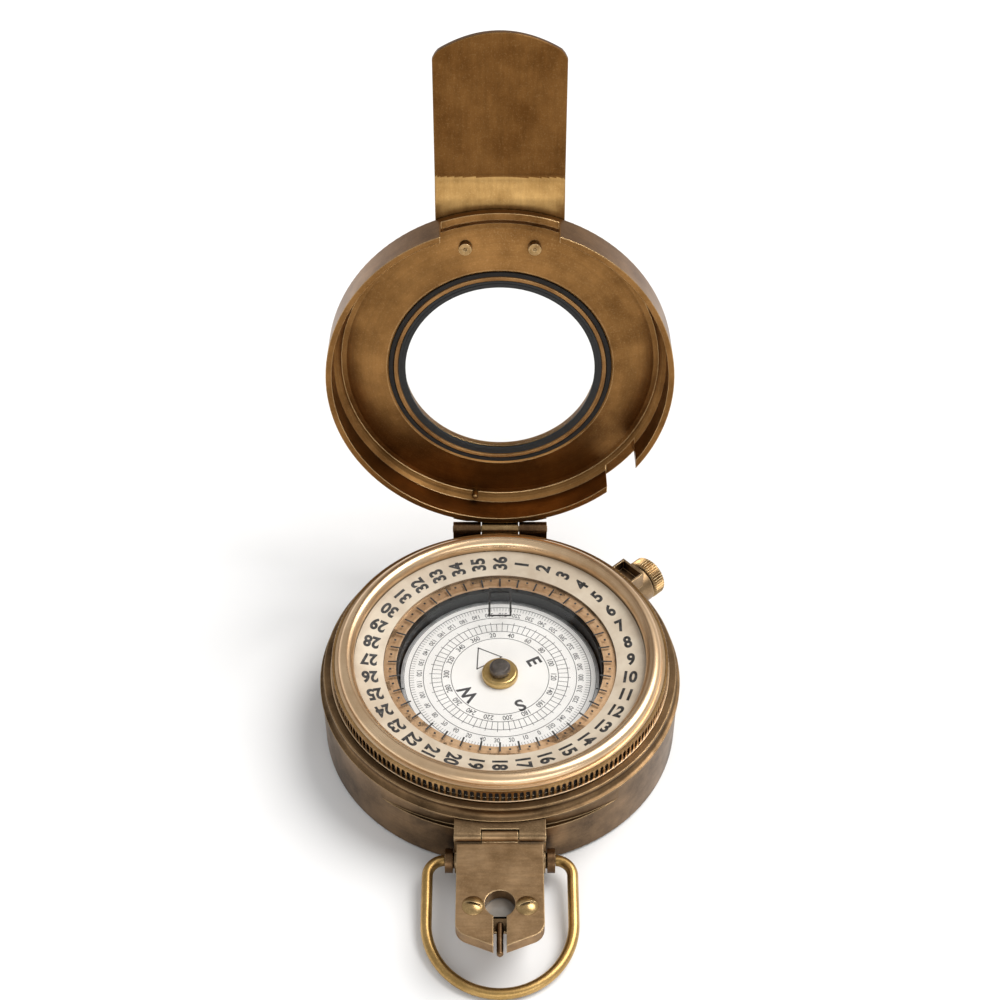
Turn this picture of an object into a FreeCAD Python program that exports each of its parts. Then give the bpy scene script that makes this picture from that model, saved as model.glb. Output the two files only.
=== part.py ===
import FreeCAD, Part
import math
import os

# Sighting compass with a hinged sight lid, a turning bezel and a folding prism.
# Millimetres. +Z is up, the origin is the centre of the case's underside,
# +Y points to the lid hinge and -Y to the prism and the thumb ring.

V = FreeCAD.Vector
UP = V(0, 0, 1)
ACROSS = V(1, 0, 0)
CENTRE = V(0, 0, 0)

# ---------------------------------------------------------------- driving sizes
run_fit = 0.05            # radial clearance of a pin or shaft that turns
loose_fit = 0.10          # clearance of large turning rings
cut = 1.0                 # how far cutting tools run past a face

# case
case_radius = 31.5
flange_z = 15.2           # top of the case, where the closed lid lands
case_wall = 2.55          # between the bezel's bore and the outside
case_edge_round = 0.6
lip_overhang = 0.25       # the lip below the cove stands this far out
lip_drop = 2.3            # from the flange top down to the lip's top edge
lip_height = 0.4
cove_depth = 0.75         # how far the cove cuts in behind the lip
flange_inset = 0.45       # the flange edge is this much smaller than the wall
flange_edge = 0.5         # height of the flange's edge
bezel_seat_drop = 7.2     # from the flange top down to the shelf below the bezel
bezel_shelf = 4.45        # width of that shelf
web_thickness = 1.6
recess_depth = 1.6        # recess that takes the base cover
recess_wall = 5.3         # between the recess and the outside
front_flat_half = 20.0    # half the length of the milled front
front_flat_depth = 0.9
front_flat_height = 3.0   # from the lip down to the milled ledge
base_cover_gap = 0.2
base_cover_thickness = 1.5
screw_shank = 0.8
screw_head = 1.6
screw_rim = 2.6           # centre of a screw from the edge it holds

# card chamber, card and pivot
card_gap = 0.35           # card edge to chamber wall
card_drop = 3.2           # card's top below the flange top
card_thickness = 0.3
card_rim_width = 0.45
chamber_wall = 2.25
chamber_floor = 1.2
chamber_top_drop = 1.0    # chamber's edge below the flange top
chamber_foot_gap = 0.2
post_radius = 1.5
post_drop = 1.2           # post's top below the card's top
post_stud_radius = 1.1
pivot_radius = 0.45
pivot_rise = 0.85         # pivot's tip above the card's top
pivot_sink = 2.0
hub_radius = 3.2
hub_height = 1.4          # above the card
hub_neck_radius = 2.4
hub_flange_radius = 2.9
hub_flange_drop = 0.5     # below the card
jewel_radius = 1.25
cap_radius = 1.85
cap_height = 1.5
magnet_reach = 0.51       # magnet's centre line as a part of the card's radius
magnet_span = 1.14        # magnet's length as a part of the card's radius
magnet_width = 2.0
magnet_height = 1.3

# card lifter, moved by the closing lid
arrest_turn = 8.9         # degrees from +Y round to -X
arrest_pin_inset = 1.3    # pin's centre from the case's outside
arrest_pin_radius = 0.45
arrest_travel = 0.8       # pin travel from open lid to closed lid
arrest_collar_radius = 0.7
arrest_collar_height = 0.5
spring_seat_rise = 2.4    # spring's seat above the base cover's recess
spring_length = 3.0
spring_wire = 0.11        # radius
spring_turns = 6
lever_arm = 15.9          # from the lever's pin out to the arrest pin
lever_thickness = 0.5
lever_low_clearance = 0.9  # lever's centre above the recess's top
lever_width = 1.8
lever_boss_radius = 0.7
lever_pin_radius = 0.35
lever_pin_length = 5.0
channel_width = 2.4
channel_sink = 0.5        # the channel's outer end is this much deeper
lifter_rod_inset = 0.3    # push rod's centre inside the cup's edge
lifter_rod_radius = 0.5
lifter_gap = 0.5          # cup's edge below the card
lifter_cup_gap = 1.58     # cup to the card's magnets, from their inner faces
lifter_cup_wall = 0.6
lifter_floor_gap = 0.6    # cup above the chamber's floor
lifter_floor = 0.5
lifter_sleeve_wall = 0.7
lifter_sleeve_drop = 2.2  # sleeve's top below the card

# bezel
lid_wall = 1.05
lid_inset = 0.5           # lid outside is this much smaller than the case
skirt_gap = 0.45          # skirt to the inside of the closed lid
skirt_height = 2.6
lip_ring_width = 0.25     # thin ring below the knurled skirt
lip_ring_height = 0.3
bead_radius = 1.4
bead_inset = 2.55         # bead centre inside the skirt
bead_rise = 2.8           # bead centre above the flange
sleeve_wall = 1.2
number_ring_width = 5.15
number_ring_rise = 1.05   # slope of the number ring
number_edge_rise = 0.8    # its inner edge above the flange
number_plate = 0.6
glass_thickness = 0.5
glass_drop = 0.1          # glass below the number ring's edge
tick_ring_width = 2.15
tick_ring_thickness = 0.5
glass_lip_width = 1.55
glass_lip_thickness = 0.5
card_edge_inset = 2.85    # card's edge inside the glass's edge
snap_groove_drop = 2.2    # groove's centre below the flange top
snap_ring_height = 0.6
snap_ring_half_width = 0.55
snap_ring_gap_angle = 8.0

# clamp
clamp_turn = 43.0         # degrees from +X round to +Y
clamp_drop = 5.4          # clamp screw's axis below the flange top
clamp_boss_radius = 3.7
clamp_boss_length = 4.3   # from the wall to the end of the boss
clamp_head_gap = 0.5      # head to boss when released
clamp_head_length = 2.8
clamp_head_radius = 3.75
clamp_shank_radius = 1.3
clamp_shank_start = 0.9   # inner end of the shank from the wall
clamp_pocket_out = 2.3    # outer face of the pocket block from the wall
clamp_pocket_in = 1.1     # how far the block reaches in over the flange's edge
clamp_pocket_half = 2.6
clamp_pocket_wall = 0.4
clamp_pocket_rise = 0.6   # pocket's top above the flange
clamp_pocket_depth = 1.9
shoe_radius = 1.0
shoe_gap = 0.35           # shoe tip to the bezel's sleeve when released
lug_clearance = 0.45      # lid cut-out round the clamp

# lid, described closed and then turned open
lid_open_angle = 98.5
lid_gap = 0.1             # closed lid above the flange
lid_depth = 7.1
lid_back_round = 0.4
lid_floor_at_wall = 0.7   # floor thickness beside the wall
lid_floor_at_window = 2.5
lid_ridge_drop = 1.1
lid_ridge_inset = 1.05    # ridge inside the wall
lid_notch_half = 10.1
lid_notch_depth = 5.3
window_bore_inset = 9.95  # window bore inside the wall
window_seat_thickness = 1.3
window_seat_width = 2.6
window_glass_width = 0.7  # glass overlap on the seat
window_glass_thickness = 0.9
window_ring_gap = 0.15    # ring to glass
window_ring_width = 0.95
window_ring_height = 1.35
gasket_width = 1.25
gasket_height = 0.3
tongue_half = 11.1
tongue_thickness = 1.1
tongue_step_start = 0.6   # from the lid's edge
tongue_step_end = 5.5
tongue_step = 1.1
tongue_corner = 27.2      # from the lid's edge to the strip's corners
tongue_crown = 30.9       # from the lid's edge to the top of the arch
tongue_corner_round = 1.2
rivet_x = 6.0
rivet_inset = 6.5         # rivet's centre from the lid's edge
rivet_shank = 0.8
rivet_head = 1.1
rivet_margin = 2.1        # strip beyond the rivet's centre
stud_x = -4.7
stud_inset = 2.5
stud_radius = 0.55

# lid hinge
hinge_out = 1.2           # axis beyond the case wall
hinge_rise = 0.5          # axis above the flange
knuckle_radius = 1.35
hinge_pin_radius = 0.6
hinge_half = 8.8
hinge_middle_half = 3.45
hinge_side_gap = 0.15
lid_leaf_low = 1.75       # leaf's lower edge above the axis
lid_leaf_high = 6.1
case_leaf_low = 6.2       # leaf's lower edge below the axis
case_leaf_high = 1.75
leaf_thickness = 1.2

# prism
bracket_half = 7.55
bracket_top_drop = 2.6    # bracket top below the flange top
bracket_low_z = 1.6
prism_axis_out = 2.2
prism_axis_drop = 1.0     # axis below the bracket top
prism_knuckle = 1.0
prism_pin_radius = 0.45
prism_middle_half = 3.0
cover_top_below_axis = 0.3
cover_thickness = 2.3
cover_start = 1.3         # plate's edge from the axis
cover_half = 7.1
cover_length_corner = 17.7
cover_length_tip = 20.2
cover_corner_round = 1.6
keyhole_reach = 12.6      # from the axis
keyhole_radius = 2.45
keyhole_slot_half = 1.05
cover_screw_x = 4.3
cover_screw_reach = 13.0
cover_screw_head = 1.8
cover_screw_dome = 0.75
cover_screw_length = 4.6
cover_screw_slot = 0.4
housing_half = 6.3
housing_cavity_half = 3.3
housing_rear = 7.1        # from the axis
housing_floor_z = 1.6
housing_skin = 0.8
prism_inset = 0.1
prism_window_half = 2.6
sight_wire_radius = 0.55
sight_wire_reach = 15.5
sight_wire_overhang = 0.4

# thumb ring
ring_axis_out = 1.8
ring_axis_z = 3.9
ring_wire = 0.93
ring_half = 12.1
ring_clearance = 3.1      # far end of the ring beyond the prism cover's tip, axis to centre line
ring_bend = 2.8
ring_pin_radius = 0.6
collar_radius = 2.05
collar_neck_radius = 1.3
collar_neck = 0.35
collar_length = 1.3
collar_gap = 0.1
ear_radius = 2.1
ear_thickness = 1.3

# ---------------------------------------------------------------- sizes that follow
lip_radius = case_radius + lip_overhang
lip_top_z = flange_z - lip_drop
flange_radius = case_radius - flange_inset
bore_radius = case_radius - case_wall
inner_bore_radius = bore_radius - bezel_shelf
bezel_seat_z = flange_z - bezel_seat_drop
recess_radius = case_radius - recess_wall
base_screw_ring = recess_radius - base_cover_gap - 1.6 * screw_rim
front_flat_top_z = lip_top_z - lip_height - lip_overhang

lid_outer = case_radius - lid_inset
lid_inner = lid_outer - lid_wall
skirt_radius = lid_inner - skirt_gap
skirt_low_z = flange_z + loose_fit
bead_centre = skirt_radius - bead_inset
bead_z = flange_z + bead_rise
sleeve_outer = bore_radius - loose_fit
sleeve_inner = sleeve_outer - sleeve_wall
number_ring_outer = bead_centre - 0.96 * bead_radius
number_edge_z = flange_z + number_edge_rise
glass_radius = number_ring_outer - number_ring_width
number_bore = glass_radius + run_fit
tick_ring_inner = glass_radius - tick_ring_width
glass_lip_inner = glass_radius - glass_lip_width
glass_top_z = number_edge_z - glass_drop
glass_low_z = glass_top_z - glass_thickness
tick_low_z = glass_low_z - tick_ring_thickness
glass_lip_z = tick_low_z - glass_lip_thickness
snap_groove_z = flange_z - snap_groove_drop

card_radius = glass_radius - card_edge_inset
card_top_z = flange_z - card_drop
card_low_z = card_top_z - card_thickness
chamber_inner = card_radius + card_gap
chamber_outer = chamber_inner + chamber_wall
chamber_low_z = recess_depth + web_thickness
chamber_floor_z = chamber_low_z + chamber_floor
chamber_top_z = flange_z - chamber_top_drop
chamber_foot_radius = inner_bore_radius - chamber_foot_gap
chamber_screw_ring = (chamber_outer + chamber_foot_radius) / 2
post_top_z = card_top_z - post_drop
pivot_tip_z = card_top_z + pivot_rise
hub_top_z = card_top_z + hub_height
magnet_offset = magnet_reach * card_radius
magnet_length = magnet_span * card_radius
lifter_cup_radius = magnet_offset - magnet_width / 2 - lifter_cup_gap
lifter_rod_reach = lifter_cup_radius - lifter_rod_inset

arrest_pin_reach = case_radius - arrest_pin_inset
lever_pivot_reach = arrest_pin_reach - lever_arm
lever_z = recess_depth + lever_low_clearance
spring_seat_z = recess_depth + spring_seat_rise
arrest_collar_z = spring_seat_z + spring_length
lifter_floor_z = chamber_floor_z + lifter_floor_gap

clamp_z = flange_z - clamp_drop
clamp_boss_reach = case_radius + clamp_boss_length
clamp_shank_reach = case_radius + clamp_shank_start
clamp_pocket_far = case_radius + clamp_pocket_out
clamp_pocket_near = case_radius - clamp_pocket_in
clamp_pocket_z = flange_z + clamp_pocket_rise

lid_rim_z = flange_z + lid_gap
lid_back_z = lid_rim_z + lid_depth
lid_ridge_radius = lid_inner - lid_ridge_inset
window_bore_radius = lid_inner - window_bore_inset
window_clear_radius = window_bore_radius - window_seat_width
window_glass_radius = window_clear_radius + window_glass_width
window_ring_inner = window_glass_radius + window_ring_gap
window_ring_outer = window_ring_inner + window_ring_width
gasket_inner = window_ring_inner - gasket_width
window_seat_z = lid_back_z - window_seat_thickness
rivet_y = lid_outer - rivet_inset
tongue_root = rivet_y - rivet_margin
stud_y = lid_outer - stud_inset
hinge_y = case_radius + hinge_out
hinge_z = flange_z + hinge_rise

bracket_top_z = flange_z - bracket_top_drop
prism_y = -(case_radius + prism_axis_out)
prism_z = bracket_top_z - prism_axis_drop
cover_top_z = prism_z - cover_top_below_axis
cover_low_z = cover_top_z - cover_thickness
housing_leg = cover_low_z - housing_floor_z
prism_leg = housing_leg - 0.5
ring_y = -(case_radius + ring_axis_out)
ring_length = cover_length_tip + ring_clearance
ring_rest_angle = math.degrees(math.asin((ring_axis_z - ring_wire) / ring_length))


# ---------------------------------------------------------------- building helpers
def outline_edges(points, place):
    """Edges round a closed outline. A point is (a, b); a bend is (a, b, a_mid, b_mid), an arc to (a, b)."""
    edges = []
    start = points[0]
    for point in points[1:] + [points[0][:2]]:
        p, q = place(*start[:2]), place(*point[:2])
        if len(point) == 4:
            edges.append(Part.Arc(p, place(*point[2:]), q).toShape())
        elif (p - q).Length > 1e-7:
            edges.append(Part.makeLine(p, q))
        start = point
    return edges


def turned(points, angle=360.0):
    """Solid turned about the Z axis from an outline of (radius, z) points."""
    face = Part.Face(Part.Wire(outline_edges(points, lambda r, z: V(r, 0, z))))
    return face.revolve(CENTRE, UP, angle)


def ring(inner, outer, low, high):
    """Plain ring or disc between two heights."""
    body = Part.makeCylinder(outer, high - low, V(0, 0, low))
    if inner > 0:
        body = body.cut(Part.makeCylinder(inner, high - low + 2 * cut, V(0, 0, low - cut)))
    return body


def rod(radius, start, end):
    """Round bar between two points."""
    start, end = V(*start), V(*end)
    return Part.makeCylinder(radius, (end - start).Length, start, end - start)


def block(x, y, z):
    """Box from three (low, high) spans."""
    return Part.makeBox(x[1] - x[0], y[1] - y[0], z[1] - z[0], V(x[0], y[0], z[0]))


def plate(points, low, high):
    """Flat plate from an outline of (x, y) points."""
    face = Part.Face(Part.Wire(outline_edges(points, lambda x, y: V(x, y, low))))
    return face.extrude(V(0, 0, high - low))


def side_profile(points, half):
    """Solid with an outline of (y, z) points, as wide as twice half across X."""
    face = Part.Face(Part.Wire(outline_edges(points, lambda y, z: V(-half, y, z))))
    return face.extrude(V(2 * half, 0, 0))


def turned_about_z(shape, angle):
    """Copy of a shape turned about the Z axis, in degrees."""
    shape = shape.copy()
    shape.rotate(CENTRE, UP, angle)
    return shape


def opened(shape):
    """Copy of a closed-lid shape, turned open about the hinge axis."""
    shape = shape.copy()
    shape.rotate(V(0, hinge_y, hinge_z), ACROSS, -lid_open_angle)
    return shape


def mirrored_pair(shape):
    """A shape and its mirror image across the middle plane, as separate solids."""
    return Part.makeCompound([shape, shape.mirror(CENTRE, ACROSS)])


def joined(*shapes):
    """One solid from several that touch or overlap."""
    body = shapes[0].multiFuse(list(shapes[1:])) if len(shapes) > 1 else shapes[0]
    return body.removeSplitter()


def around(count, reach, first_angle):
    """Places round the Z axis, as (x, y)."""
    for i in range(count):
        a = math.radians(first_angle + 360.0 * i / count)
        yield reach * math.cos(a), reach * math.sin(a)


# ---------------------------------------------------------------- case
def case_outside():
    """Outside of the case as a full solid: wall, lip, cove and flange."""
    cove_top = flange_z - flange_edge
    return turned([
        (0, 0),
        (case_radius - case_edge_round, 0),
        (case_radius, case_edge_round,
         case_radius - case_edge_round * (1 - math.sqrt(0.5)), case_edge_round * (1 - math.sqrt(0.5))),
        (case_radius, lip_top_z - lip_height - lip_overhang),
        (lip_radius, lip_top_z - lip_height),
        (lip_radius, lip_top_z),
        (flange_radius, cove_top, lip_radius - cove_depth - lip_overhang, (lip_top_z + cove_top) / 2),
        (flange_radius, flange_z - 0.15),
        (flange_radius - 0.15, flange_z),
        (0, flange_z),
    ])


def front_flat_tool():
    """Ring that mills a shallow flatter arc into the front of the wall."""
    edge_y = -math.sqrt(case_radius ** 2 - front_flat_half ** 2)
    middle_y = -(case_radius - front_flat_depth)
    rise = edge_y - middle_y
    radius = (front_flat_half ** 2 + rise ** 2) / (2 * rise)
    centre = V(0, middle_y + radius, front_flat_top_z - front_flat_height)
    outer = Part.makeCylinder(radius + 10, front_flat_height, centre)
    inner = Part.makeCylinder(radius, front_flat_height, centre)
    front = block((-case_radius, case_radius), (-case_radius - cut, 0), (0, flange_z))
    return outer.cut(inner).common(front)


def lever_channel():
    """Slot in the web and wall for the lifter lever, deeper where its outer end swings down."""
    half = channel_width / 2
    end = arrest_pin_reach + 0.9
    slot = block((-half, half), (lifter_rod_reach - 2.5, end), (recess_depth, chamber_low_z))
    sink = block((-half, half), (recess_radius - cut, end), (recess_depth - channel_sink, chamber_low_z))
    return turned_about_z(joined(slot, sink), arrest_turn)


def at_reach(reach):
    """Point on the arrest line at a distance from the centre, as (x, y)."""
    a = math.radians(90 + arrest_turn)
    return reach * math.cos(a), reach * math.sin(a)


def clamp_rod(radius, start, end, z=clamp_z):
    """Round bar along the clamp screw's axis."""
    return turned_about_z(rod(radius, (start, 0, z), (end, 0, z)), clamp_turn)


def case_body():
    body = case_outside()
    body = body.cut(ring(0, bore_radius, bezel_seat_z, flange_z + cut))
    body = body.cut(ring(0, inner_bore_radius, chamber_low_z, bezel_seat_z + cut))
    body = body.cut(ring(0, recess_radius, -cut, recess_depth))
    body = body.cut(ring(0, post_stud_radius + run_fit, 0, flange_z))
    body = body.cut(front_flat_tool())
    body = body.cut(lever_channel())
    groove_half = snap_ring_height / 2 + loose_fit
    body = body.cut(ring(bore_radius - cut, bore_radius + snap_ring_half_width + run_fit,
                         snap_groove_z - groove_half, snap_groove_z + groove_half))
    px, py = at_reach(arrest_pin_reach)
    body = body.cut(rod(arrest_pin_radius + run_fit, (px, py, recess_depth + cut), (px, py, flange_z + cut)))
    body = body.cut(rod(arrest_collar_radius + loose_fit, (px, py, spring_seat_z),
                        (px, py, arrest_collar_z + arrest_collar_height + 0.3)))
    body = body.cut(turned_about_z(
        rod(lever_pin_radius, (-lever_pin_length / 2, lever_pivot_reach, lever_z),
            (lever_pin_length / 2, lever_pivot_reach, lever_z)), arrest_turn))
    body = body.cut(clamp_rod(shoe_radius + run_fit, bore_radius - cut, case_radius + cut))
    for x, y in around(3, base_screw_ring, 30):
        body = body.cut(rod(screw_shank, (x, y, 0), (x, y, chamber_low_z - 0.2)))
    for x, y in around(3, chamber_screw_ring, 0):
        body = body.cut(rod(screw_shank, (x, y, recess_depth + 0.3), (x, y, flange_z)))
    return body


def flat_screw(x, y, head_z, shank_end_z):
    """Countersunk slotted screw. Its head is flush at head_z and its shank runs to shank_end_z."""
    way = 1 if shank_end_z > head_z else -1
    head = Part.makeCone(screw_head, screw_shank, screw_head - screw_shank, V(x, y, head_z), V(0, 0, way))
    shank = rod(screw_shank, (x, y, head_z), (x, y, shank_end_z))
    slot = block((x - 2, x + 2), (y - 0.2, y + 0.2), (head_z - 0.35, head_z + 0.35))
    return joined(head, shank).cut(slot)


def base_cover():
    body = ring(0, recess_radius - base_cover_gap, 0, base_cover_thickness)
    for x, y in around(3, base_screw_ring, 30):
        body = body.cut(rod(screw_shank, (x, y, -cut), (x, y, base_cover_thickness + cut)))
        body = body.cut(Part.makeCone(screw_head, screw_shank, screw_head - screw_shank, V(x, y, 0), UP))
    return body


def base_cover_screws():
    end = chamber_low_z - 0.3
    return Part.makeCompound([flat_screw(x, y, 0, end) for x, y in around(3, base_screw_ring, 30)])


# ---------------------------------------------------------------- card chamber and pivot
def card_chamber():
    floor_top = chamber_floor_z
    body = turned([
        (0, chamber_low_z), (chamber_foot_radius, chamber_low_z), (chamber_foot_radius, floor_top),
        (chamber_outer, floor_top), (chamber_outer, chamber_top_z), (chamber_inner, chamber_top_z),
        (chamber_inner, floor_top), (0, floor_top),
    ])
    body = body.cut(ring(0, post_radius + run_fit, 0, floor_top + cut))
    x, y = at_reach(lifter_rod_reach)
    body = body.cut(rod(lifter_rod_radius + loose_fit, (x, y, 0), (x, y, floor_top + cut)))
    for x, y in around(3, chamber_screw_ring, 0):
        body = body.cut(rod(screw_shank, (x, y, 0), (x, y, floor_top + cut)))
        body = body.cut(Part.makeCone(screw_shank, screw_head, screw_head - screw_shank,
                                      V(x, y, floor_top - screw_head + screw_shank), UP))
    return body


def chamber_screws():
    low = recess_depth + 0.4
    return Part.makeCompound([flat_screw(x, y, chamber_floor_z, low) for x, y in around(3, chamber_screw_ring, 0)])


def pivot_post():
    body = joined(ring(0, post_radius, chamber_low_z, post_top_z),
                  ring(0, post_stud_radius, recess_depth + loose_fit, chamber_low_z + cut))
    return body.cut(ring(0, pivot_radius, post_top_z - pivot_sink, post_top_z + cut))


def pivot_pin():
    shoulder = pivot_tip_z - 0.9
    return turned([(0, post_top_z - pivot_sink), (pivot_radius, post_top_z - pivot_sink), (pivot_radius, shoulder),
                   (0.06, pivot_tip_z), (0, pivot_tip_z)])


def compass_card():
    return ring(hub_neck_radius, card_radius - card_rim_width, card_low_z, card_top_z)


def card_rim():
    return ring(card_radius - card_rim_width, card_radius, card_low_z - 0.25, card_top_z + 0.08)


def card_hub():
    """Brass hub through the card, bored from below for the jewel."""
    body = joined(ring(0, hub_radius, card_top_z, hub_top_z),
                  ring(0, hub_neck_radius, card_low_z, card_top_z + 0.1),
                  ring(0, hub_flange_radius, card_low_z - hub_flange_drop, card_low_z))
    return body.cut(ring(0, jewel_radius, card_low_z - cut, hub_top_z - 0.1))


def cap_jewel():
    low, high = pivot_tip_z - 0.5, hub_top_z - 0.1
    return turned([(0.55, low), (jewel_radius, low), (jewel_radius, high), (0, high), (0, pivot_tip_z + 0.05)])


def jewel_cap():
    top = hub_top_z + cap_height
    return turned([(0, hub_top_z), (cap_radius, hub_top_z), (cap_radius, top - 0.2), (cap_radius - 0.2, top),
                   (0, top)])


def card_magnets():
    bar = block((magnet_offset - magnet_width / 2, magnet_offset + magnet_width / 2),
                (-magnet_length / 2, magnet_length / 2), (card_low_z - magnet_height, card_low_z))
    return mirrored_pair(bar)


# ---------------------------------------------------------------- card lifter
def card_lifter():
    """Cup that slides on the post and lifts the card, with a push rod down to the lever."""
    top = card_low_z - lifter_gap
    hole = post_radius + run_fit
    sleeve = hole + lifter_sleeve_wall
    inner = lifter_cup_radius - lifter_cup_wall
    floor_top = lifter_floor_z + lifter_floor
    sleeve_top = card_low_z - lifter_sleeve_drop
    cup = turned([
        (hole, lifter_floor_z), (lifter_cup_radius, lifter_floor_z), (lifter_cup_radius, top),
        (inner, top), (inner, floor_top), (sleeve, floor_top), (sleeve, sleeve_top), (hole, sleeve_top),
    ])
    x, y = at_reach(lifter_rod_reach)
    push_rod = rod(lifter_rod_radius, (x, y, lever_z + lever_thickness / 2 + run_fit), (x, y, floor_top - 0.1))
    return joined(cup, push_rod)


def lifter_lever():
    half_z = lever_thickness / 2
    bar = block((-lever_width / 2, lever_width / 2), (lifter_rod_reach - 0.9, arrest_pin_reach + 0.5),
                (lever_z - half_z, lever_z + half_z))
    boss = rod(lever_boss_radius, (-lever_width / 2, lever_pivot_reach, lever_z),
               (lever_width / 2, lever_pivot_reach, lever_z))
    hole = rod(lever_pin_radius + run_fit, (-lever_width, lever_pivot_reach, lever_z),
               (lever_width, lever_pivot_reach, lever_z))
    return turned_about_z(joined(bar, boss).cut(hole), arrest_turn)


def lever_pin():
    half = lever_pin_length / 2
    return turned_about_z(rod(lever_pin_radius, (-half, lever_pivot_reach, lever_z),
                              (half, lever_pivot_reach, lever_z)), arrest_turn)


def arrest_pin():
    x, y = at_reach(arrest_pin_reach)
    low = lever_z + lever_thickness / 2 + run_fit
    top = flange_z + arrest_travel
    return joined(rod(arrest_pin_radius, (x, y, low), (x, y, top)),
                  rod(arrest_collar_radius, (x, y, arrest_collar_z),
                      (x, y, arrest_collar_z + arrest_collar_height)))


def arrest_spring():
    """Coil spring round the arrest pin, between its collar and the seat in the wall."""
    x, y = at_reach(arrest_pin_reach)
    radius = arrest_collar_radius - spring_wire
    height = arrest_collar_z - spring_seat_z - 2 * spring_wire
    low = spring_seat_z + spring_wire
    helix = Part.makeHelix(height / spring_turns, height, radius)
    section = Part.Wire([Part.makeCircle(spring_wire, V(radius, 0, 0), V(0, 1, 0))])
    coil = Part.Wire(helix.Edges).makePipeShell([section], True, True)
    coil.translate(V(x, y, low))
    return coil


# ---------------------------------------------------------------- bezel
def bezel_ring():
    """Turning ring: rounded bead, skirt that is gripped, and the sleeve inside the case."""
    skirt_top = skirt_low_z + skirt_height
    seat_z = glass_lip_z + number_plate
    lip_top = skirt_low_z + lip_ring_height

    def bead_point(angle):
        a = math.radians(angle)
        return bead_centre + bead_radius * math.cos(a), bead_z + bead_radius * math.sin(a)

    start, middle, end = bead_point(-20), bead_point(90), bead_point(205)
    inside = number_ring_outer + run_fit
    body = turned([
        (sleeve_inner, bezel_seat_z + loose_fit), (sleeve_outer, bezel_seat_z + loose_fit),
        (sleeve_outer, skirt_low_z), (skirt_radius + lip_ring_width, skirt_low_z),
        (skirt_radius + lip_ring_width, lip_top), (skirt_radius, lip_top), (skirt_radius, skirt_top),
        start, end + middle, (inside, end[1] - 0.2), (inside, seat_z), (sleeve_inner, seat_z),
    ])
    groove_half = snap_ring_height / 2 + loose_fit
    groove = ring(sleeve_outer - snap_ring_half_width - loose_fit, sleeve_outer + cut,
                  snap_groove_z - groove_half, snap_groove_z + groove_half)
    return body.cut(groove)


def number_ring():
    seat_z = glass_lip_z + number_plate
    return turned([
        (glass_lip_inner, glass_lip_z), (sleeve_inner - run_fit, glass_lip_z),
        (sleeve_inner - run_fit, seat_z), (number_ring_outer, seat_z),
        (number_ring_outer, number_edge_z + number_ring_rise), (number_bore, number_edge_z),
        (number_bore, tick_low_z), (glass_lip_inner, tick_low_z),
    ])


def tick_ring():
    return ring(tick_ring_inner, glass_radius, tick_low_z, glass_low_z)


def bezel_glass():
    return ring(0, glass_radius, glass_low_z, glass_top_z)


def bezel_snap_ring():
    """Split ring that holds the sleeve down in the case."""
    half = snap_ring_height / 2
    inner = sleeve_outer - snap_ring_half_width
    outer = bore_radius + snap_ring_half_width
    body = turned([(inner, snap_groove_z - half), (outer, snap_groove_z - half),
                   (outer, snap_groove_z + half), (inner, snap_groove_z + half)],
                  360.0 - snap_ring_gap_angle)
    return turned_about_z(body, 200)


# ---------------------------------------------------------------- clamp
def clamp_lug():
    """Round boss on the wall with an open pocket beside the bezel."""
    boss = clamp_rod(clamp_boss_radius, case_radius - 2.0, clamp_boss_reach)
    pocket_block = turned_about_z(
        block((clamp_pocket_near, clamp_pocket_far), (-clamp_pocket_half, clamp_pocket_half),
              (clamp_z, clamp_pocket_z)), clamp_turn)
    inner_half = clamp_pocket_half - clamp_pocket_wall
    pocket = turned_about_z(
        block((clamp_pocket_near + clamp_pocket_wall, clamp_pocket_far - clamp_pocket_wall),
              (-inner_half, inner_half), (clamp_pocket_z - clamp_pocket_depth, clamp_pocket_z + cut)), clamp_turn)
    body = joined(boss, pocket_block).cut(pocket).cut(case_outside())
    body = body.cut(clamp_rod(shoe_radius + run_fit, 0, clamp_boss_reach))
    bore_start = clamp_shank_reach - 1.5 * shoe_gap
    return body.cut(clamp_rod(clamp_shank_radius + run_fit, bore_start, clamp_boss_reach + cut))


def clamp_shoe():
    """Small pin that the screw drives against the bezel's sleeve."""
    return clamp_rod(shoe_radius, sleeve_outer + shoe_gap, clamp_shank_reach)


def clamp_screw():
    head_start = clamp_boss_reach + clamp_head_gap
    head_end = head_start + clamp_head_length
    shank = clamp_rod(clamp_shank_radius, clamp_shank_reach, head_start + 0.1)
    head = clamp_rod(clamp_head_radius, head_start, head_end)
    return joined(shank, head)


# ---------------------------------------------------------------- lid
def lid_outside():
    """Outside of the closed lid as a full solid."""
    return turned([
        (0, lid_rim_z), (lid_outer, lid_rim_z), (lid_outer, lid_back_z - lid_back_round),
        (lid_outer - lid_back_round, lid_back_z,
         lid_outer - lid_back_round * (1 - math.sqrt(0.5)), lid_back_z - lid_back_round * (1 - math.sqrt(0.5))),
        (0, lid_back_z),
    ])


def lid_inside():
    """Space inside the lid: wall, ridge, sloping floor and the bores round the window."""
    window_floor = lid_back_z - lid_floor_at_window
    wall_floor = lid_back_z - lid_floor_at_wall
    ridge_z = lid_back_z - lid_ridge_drop
    return turned([
        (0, lid_rim_z - cut), (lid_inner, lid_rim_z - cut), (lid_inner, ridge_z - 0.8),
        (lid_ridge_radius + 0.35, ridge_z - 0.35), (lid_ridge_radius, ridge_z),
        (lid_ridge_radius - 0.3, wall_floor), (lid_ridge_radius - 1.2, wall_floor - 0.05),
        (window_bore_radius + 0.4, window_floor, lid_ridge_radius - 5.0, window_floor + 0.85),
        (window_bore_radius, window_floor + 0.15), (window_bore_radius, window_seat_z), (0, window_seat_z),
    ])


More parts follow.
